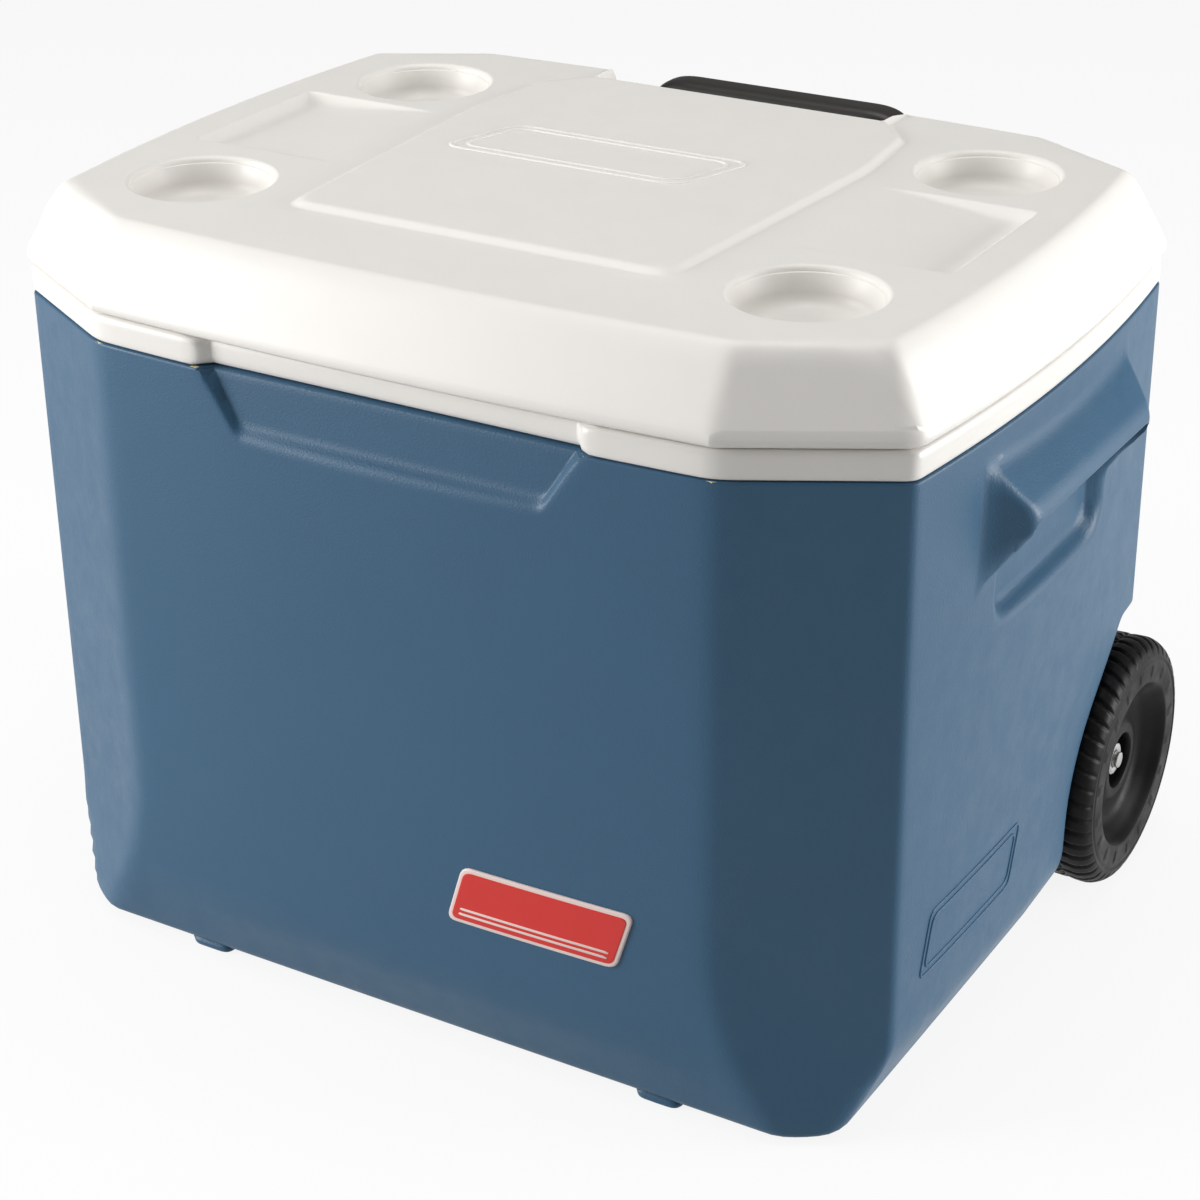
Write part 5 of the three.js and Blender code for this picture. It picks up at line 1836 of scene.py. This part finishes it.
class Fittings:
    """Hinges, drain, screws and the pieces inside, kept as modelled but for their rounded edges."""

    def make(self, wardrobe: Wardrobe) -> None:
        """Rounds and dresses every remaining node.

        Args:
            wardrobe: finishes that the pieces are dressed from.
        """
        groups = [
            ("chest", "hinge_chest_leaf", ("_left", "_right"), Dress.LID, Slot.WHITE, 0.0009),
            ("lid", "hinge_lid_leaf", ("_left", "_right"), Dress.LID, Slot.WHITE, 0.0009),
            ("chest", "hinge_pin", ("_left", "_right"), Dress.STEEL, Slot.STEEL, 0.0004),
            ("chest", "hinge_chest_screw", ("_1", "_2", "_3", "_4"), Dress.STEEL, Slot.STEEL, 0.0004),
            ("lid", "hinge_lid_screw", ("_1", "_2", "_3", "_4"), Dress.STEEL, Slot.STEEL, 0.0004),
            ("chest", "bracket_screw", ("_1", "_2", "_3", "_4"), Dress.STEEL, Slot.STEEL, 0.0004),
            ("chest", "drain_spout", ("",), Dress.LID, Slot.WHITE, 0.0006),
            ("chest", "drain_nut", ("",), Dress.LID, Slot.WHITE, 0.0006),
            ("drain_cap", "drain_cap", ("",), Dress.LID, Slot.WHITE, 0.0008),
            ("chest", "axle_rod", ("",), Dress.STEEL, Slot.STEEL, 0.0006),
        ]
        for body, stem, ends, dress, slot, edge in groups:
            for end in ends:
                piece = softened(stem + end, edge)
                wardrobe.put(dress, piece)
                fasten(piece, body)
        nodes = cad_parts
        wardrobe.put(Dress.FOAM, nodes["insulation_foam"], nodes["lid_foam"])
        wardrobe.put(Dress.RUBBER, nodes["drain_washer"], nodes["drain_seal"])


# ---- Studio -------------------------------------------------------------------------------------
@dataclass
class Studio:
    """Pale floor, soft lamps and the camera."""

    camera_place: tuple[float, float, float] = (0.7630, -1.2794, 0.9148)
    camera_turn: tuple[float, float, float] = (63.69, 0.53, 30.73)
    lens: float = 83.5
    world_level: float = 0.27

    def camera(self) -> None:
        """Sets up the camera."""
        data = bpy.data.cameras.new("camera")
        data.lens = self.lens
        data.sensor_width = 36.0
        data.clip_start = 0.05
        made = bpy.data.objects.new("camera", data)
        made.location = self.camera_place
        made.rotation_euler = Euler([math.radians(angle) for angle in self.camera_turn], "XYZ")
        bpy.context.scene.collection.objects.link(made)
        bpy.context.scene.camera = made

    def lamp(self, name: str, place: tuple[float, float, float], size: float, watts: float) -> None:
        """Adds a square soft lamp that faces the cooler.

        Args:
            name: name of the object.
            place: where it stands.
            size: side of its square.
            watts: its power.
        """
        data = bpy.data.lights.new(name, "AREA")
        data.shape = "SQUARE"
        data.size = size
        data.energy = watts
        made = bpy.data.objects.new(name, data)
        made.location = place
        aim = Vector((0.0, 0.0, 0.25)) - Vector(place)
        made.rotation_euler = aim.to_track_quat("-Z", "Y").to_euler()
        bpy.context.scene.collection.objects.link(made)

    def seen(self, tree: bpy.types.NodeTree) -> bpy.types.NodeSocket:
        """One for rays that come from the camera or a mirror-like or clear surface.

        Args:
            tree: the node tree it is made in.

        Returns:
            Socket with one or nothing.
        """
        path = tree.nodes.new("ShaderNodeLightPath")
        total = path.outputs["Is Camera Ray"]
        for name in ("Is Glossy Ray", "Is Transmission Ray"):
            add = tree.nodes.new("ShaderNodeMath")
            add.operation = "MAXIMUM"
            tree.links.new(total, add.inputs[0])
            tree.links.new(path.outputs[name], add.inputs[1])
            total = add.outputs[0]
        return total

    def floor(self) -> None:
        """Wide pale floor that stays near white for the camera and keeps the shadow."""
        grid = np.zeros((2, 2, 3))
        grid[..., 0] = np.array([-9.0, 9.0])[None, :]
        grid[..., 1] = np.array([-9.0, 9.0])[:, None]
        shape = Shape()
        shape.add_grid(grid, wrap_columns=False)
        piece = shape.piece("floor")
        material = bpy.data.materials.new("pale_floor")
        material.use_nodes = True
        tree = material.node_tree
        shader = tree.nodes["Principled BSDF"]
        shader.inputs["Base Color"].default_value = (0.50, 0.50, 0.50, 1.0)
        shader.inputs["Roughness"].default_value = 0.9
        shader.inputs["Specular IOR Level"].default_value = 0.1
        glow = tree.nodes.new("ShaderNodeEmission")
        glow.inputs["Strength"].default_value = 1.1
        share = tree.nodes.new("ShaderNodeMath")
        share.operation = "MULTIPLY"
        share.inputs[1].default_value = 0.8
        tree.links.new(self.seen(tree), share.inputs[0])
        mix = tree.nodes.new("ShaderNodeMixShader")
        tree.links.new(share.outputs[0], mix.inputs[0])
        tree.links.new(shader.outputs[0], mix.inputs[1])
        tree.links.new(glow.outputs[0], mix.inputs[2])
        tree.links.new(mix.outputs[0], tree.nodes["Material Output"].inputs[0])
        piece.data.materials.append(material)

    def world(self) -> None:
        """Soft sky: white to the camera, plain light for the cooler."""
        world = bpy.data.worlds.new("studio")
        bpy.context.scene.world = world
        world.use_nodes = True
        tree = world.node_tree
        back = tree.nodes["Background"]
        back.inputs["Color"].default_value = (1.0, 1.0, 1.0, 1.0)
        strength = tree.nodes.new("ShaderNodeMapRange")
        strength.inputs["To Min"].default_value = self.world_level
        strength.inputs["To Max"].default_value = 1.0
        path = tree.nodes.new("ShaderNodeLightPath")
        tree.links.new(path.outputs["Is Camera Ray"], strength.inputs["Value"])
        tree.links.new(strength.outputs["Result"], back.inputs["Strength"])

    def make(self) -> None:
        """Builds the studio."""
        self.camera()
        self.floor()
        self.world()
        self.lamp("left_front_softbox", (-1.95, -1.5, 0.85), 1.2, 61.0)
        self.lamp("right_softbox", (2.05, 0.95, 0.50), 1.1, 49.0)
        self.lamp("top_softbox", (0.0, -0.1, 2.45), 1.4, 24.0)
        scene = bpy.context.scene
        scene.view_settings.view_transform = "Standard"


def main() -> None:
    """Builds the cooler and its studio in order."""
    logging.basicConfig(level=logging.INFO, format="%(message)s")
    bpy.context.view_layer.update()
    Studio().make()
    wardrobe = Wardrobe()
    plan = RimPlan()
    shell = ChestShell(plan)
    parts = (shell, InnerLiner(shell), Lid(plan), Wheel(-1), Wheel(1), TowHandle(), Badge(plan), Fittings())
    for part in parts:
        part.make(wardrobe)


if __name__ == "__main__":
    main()
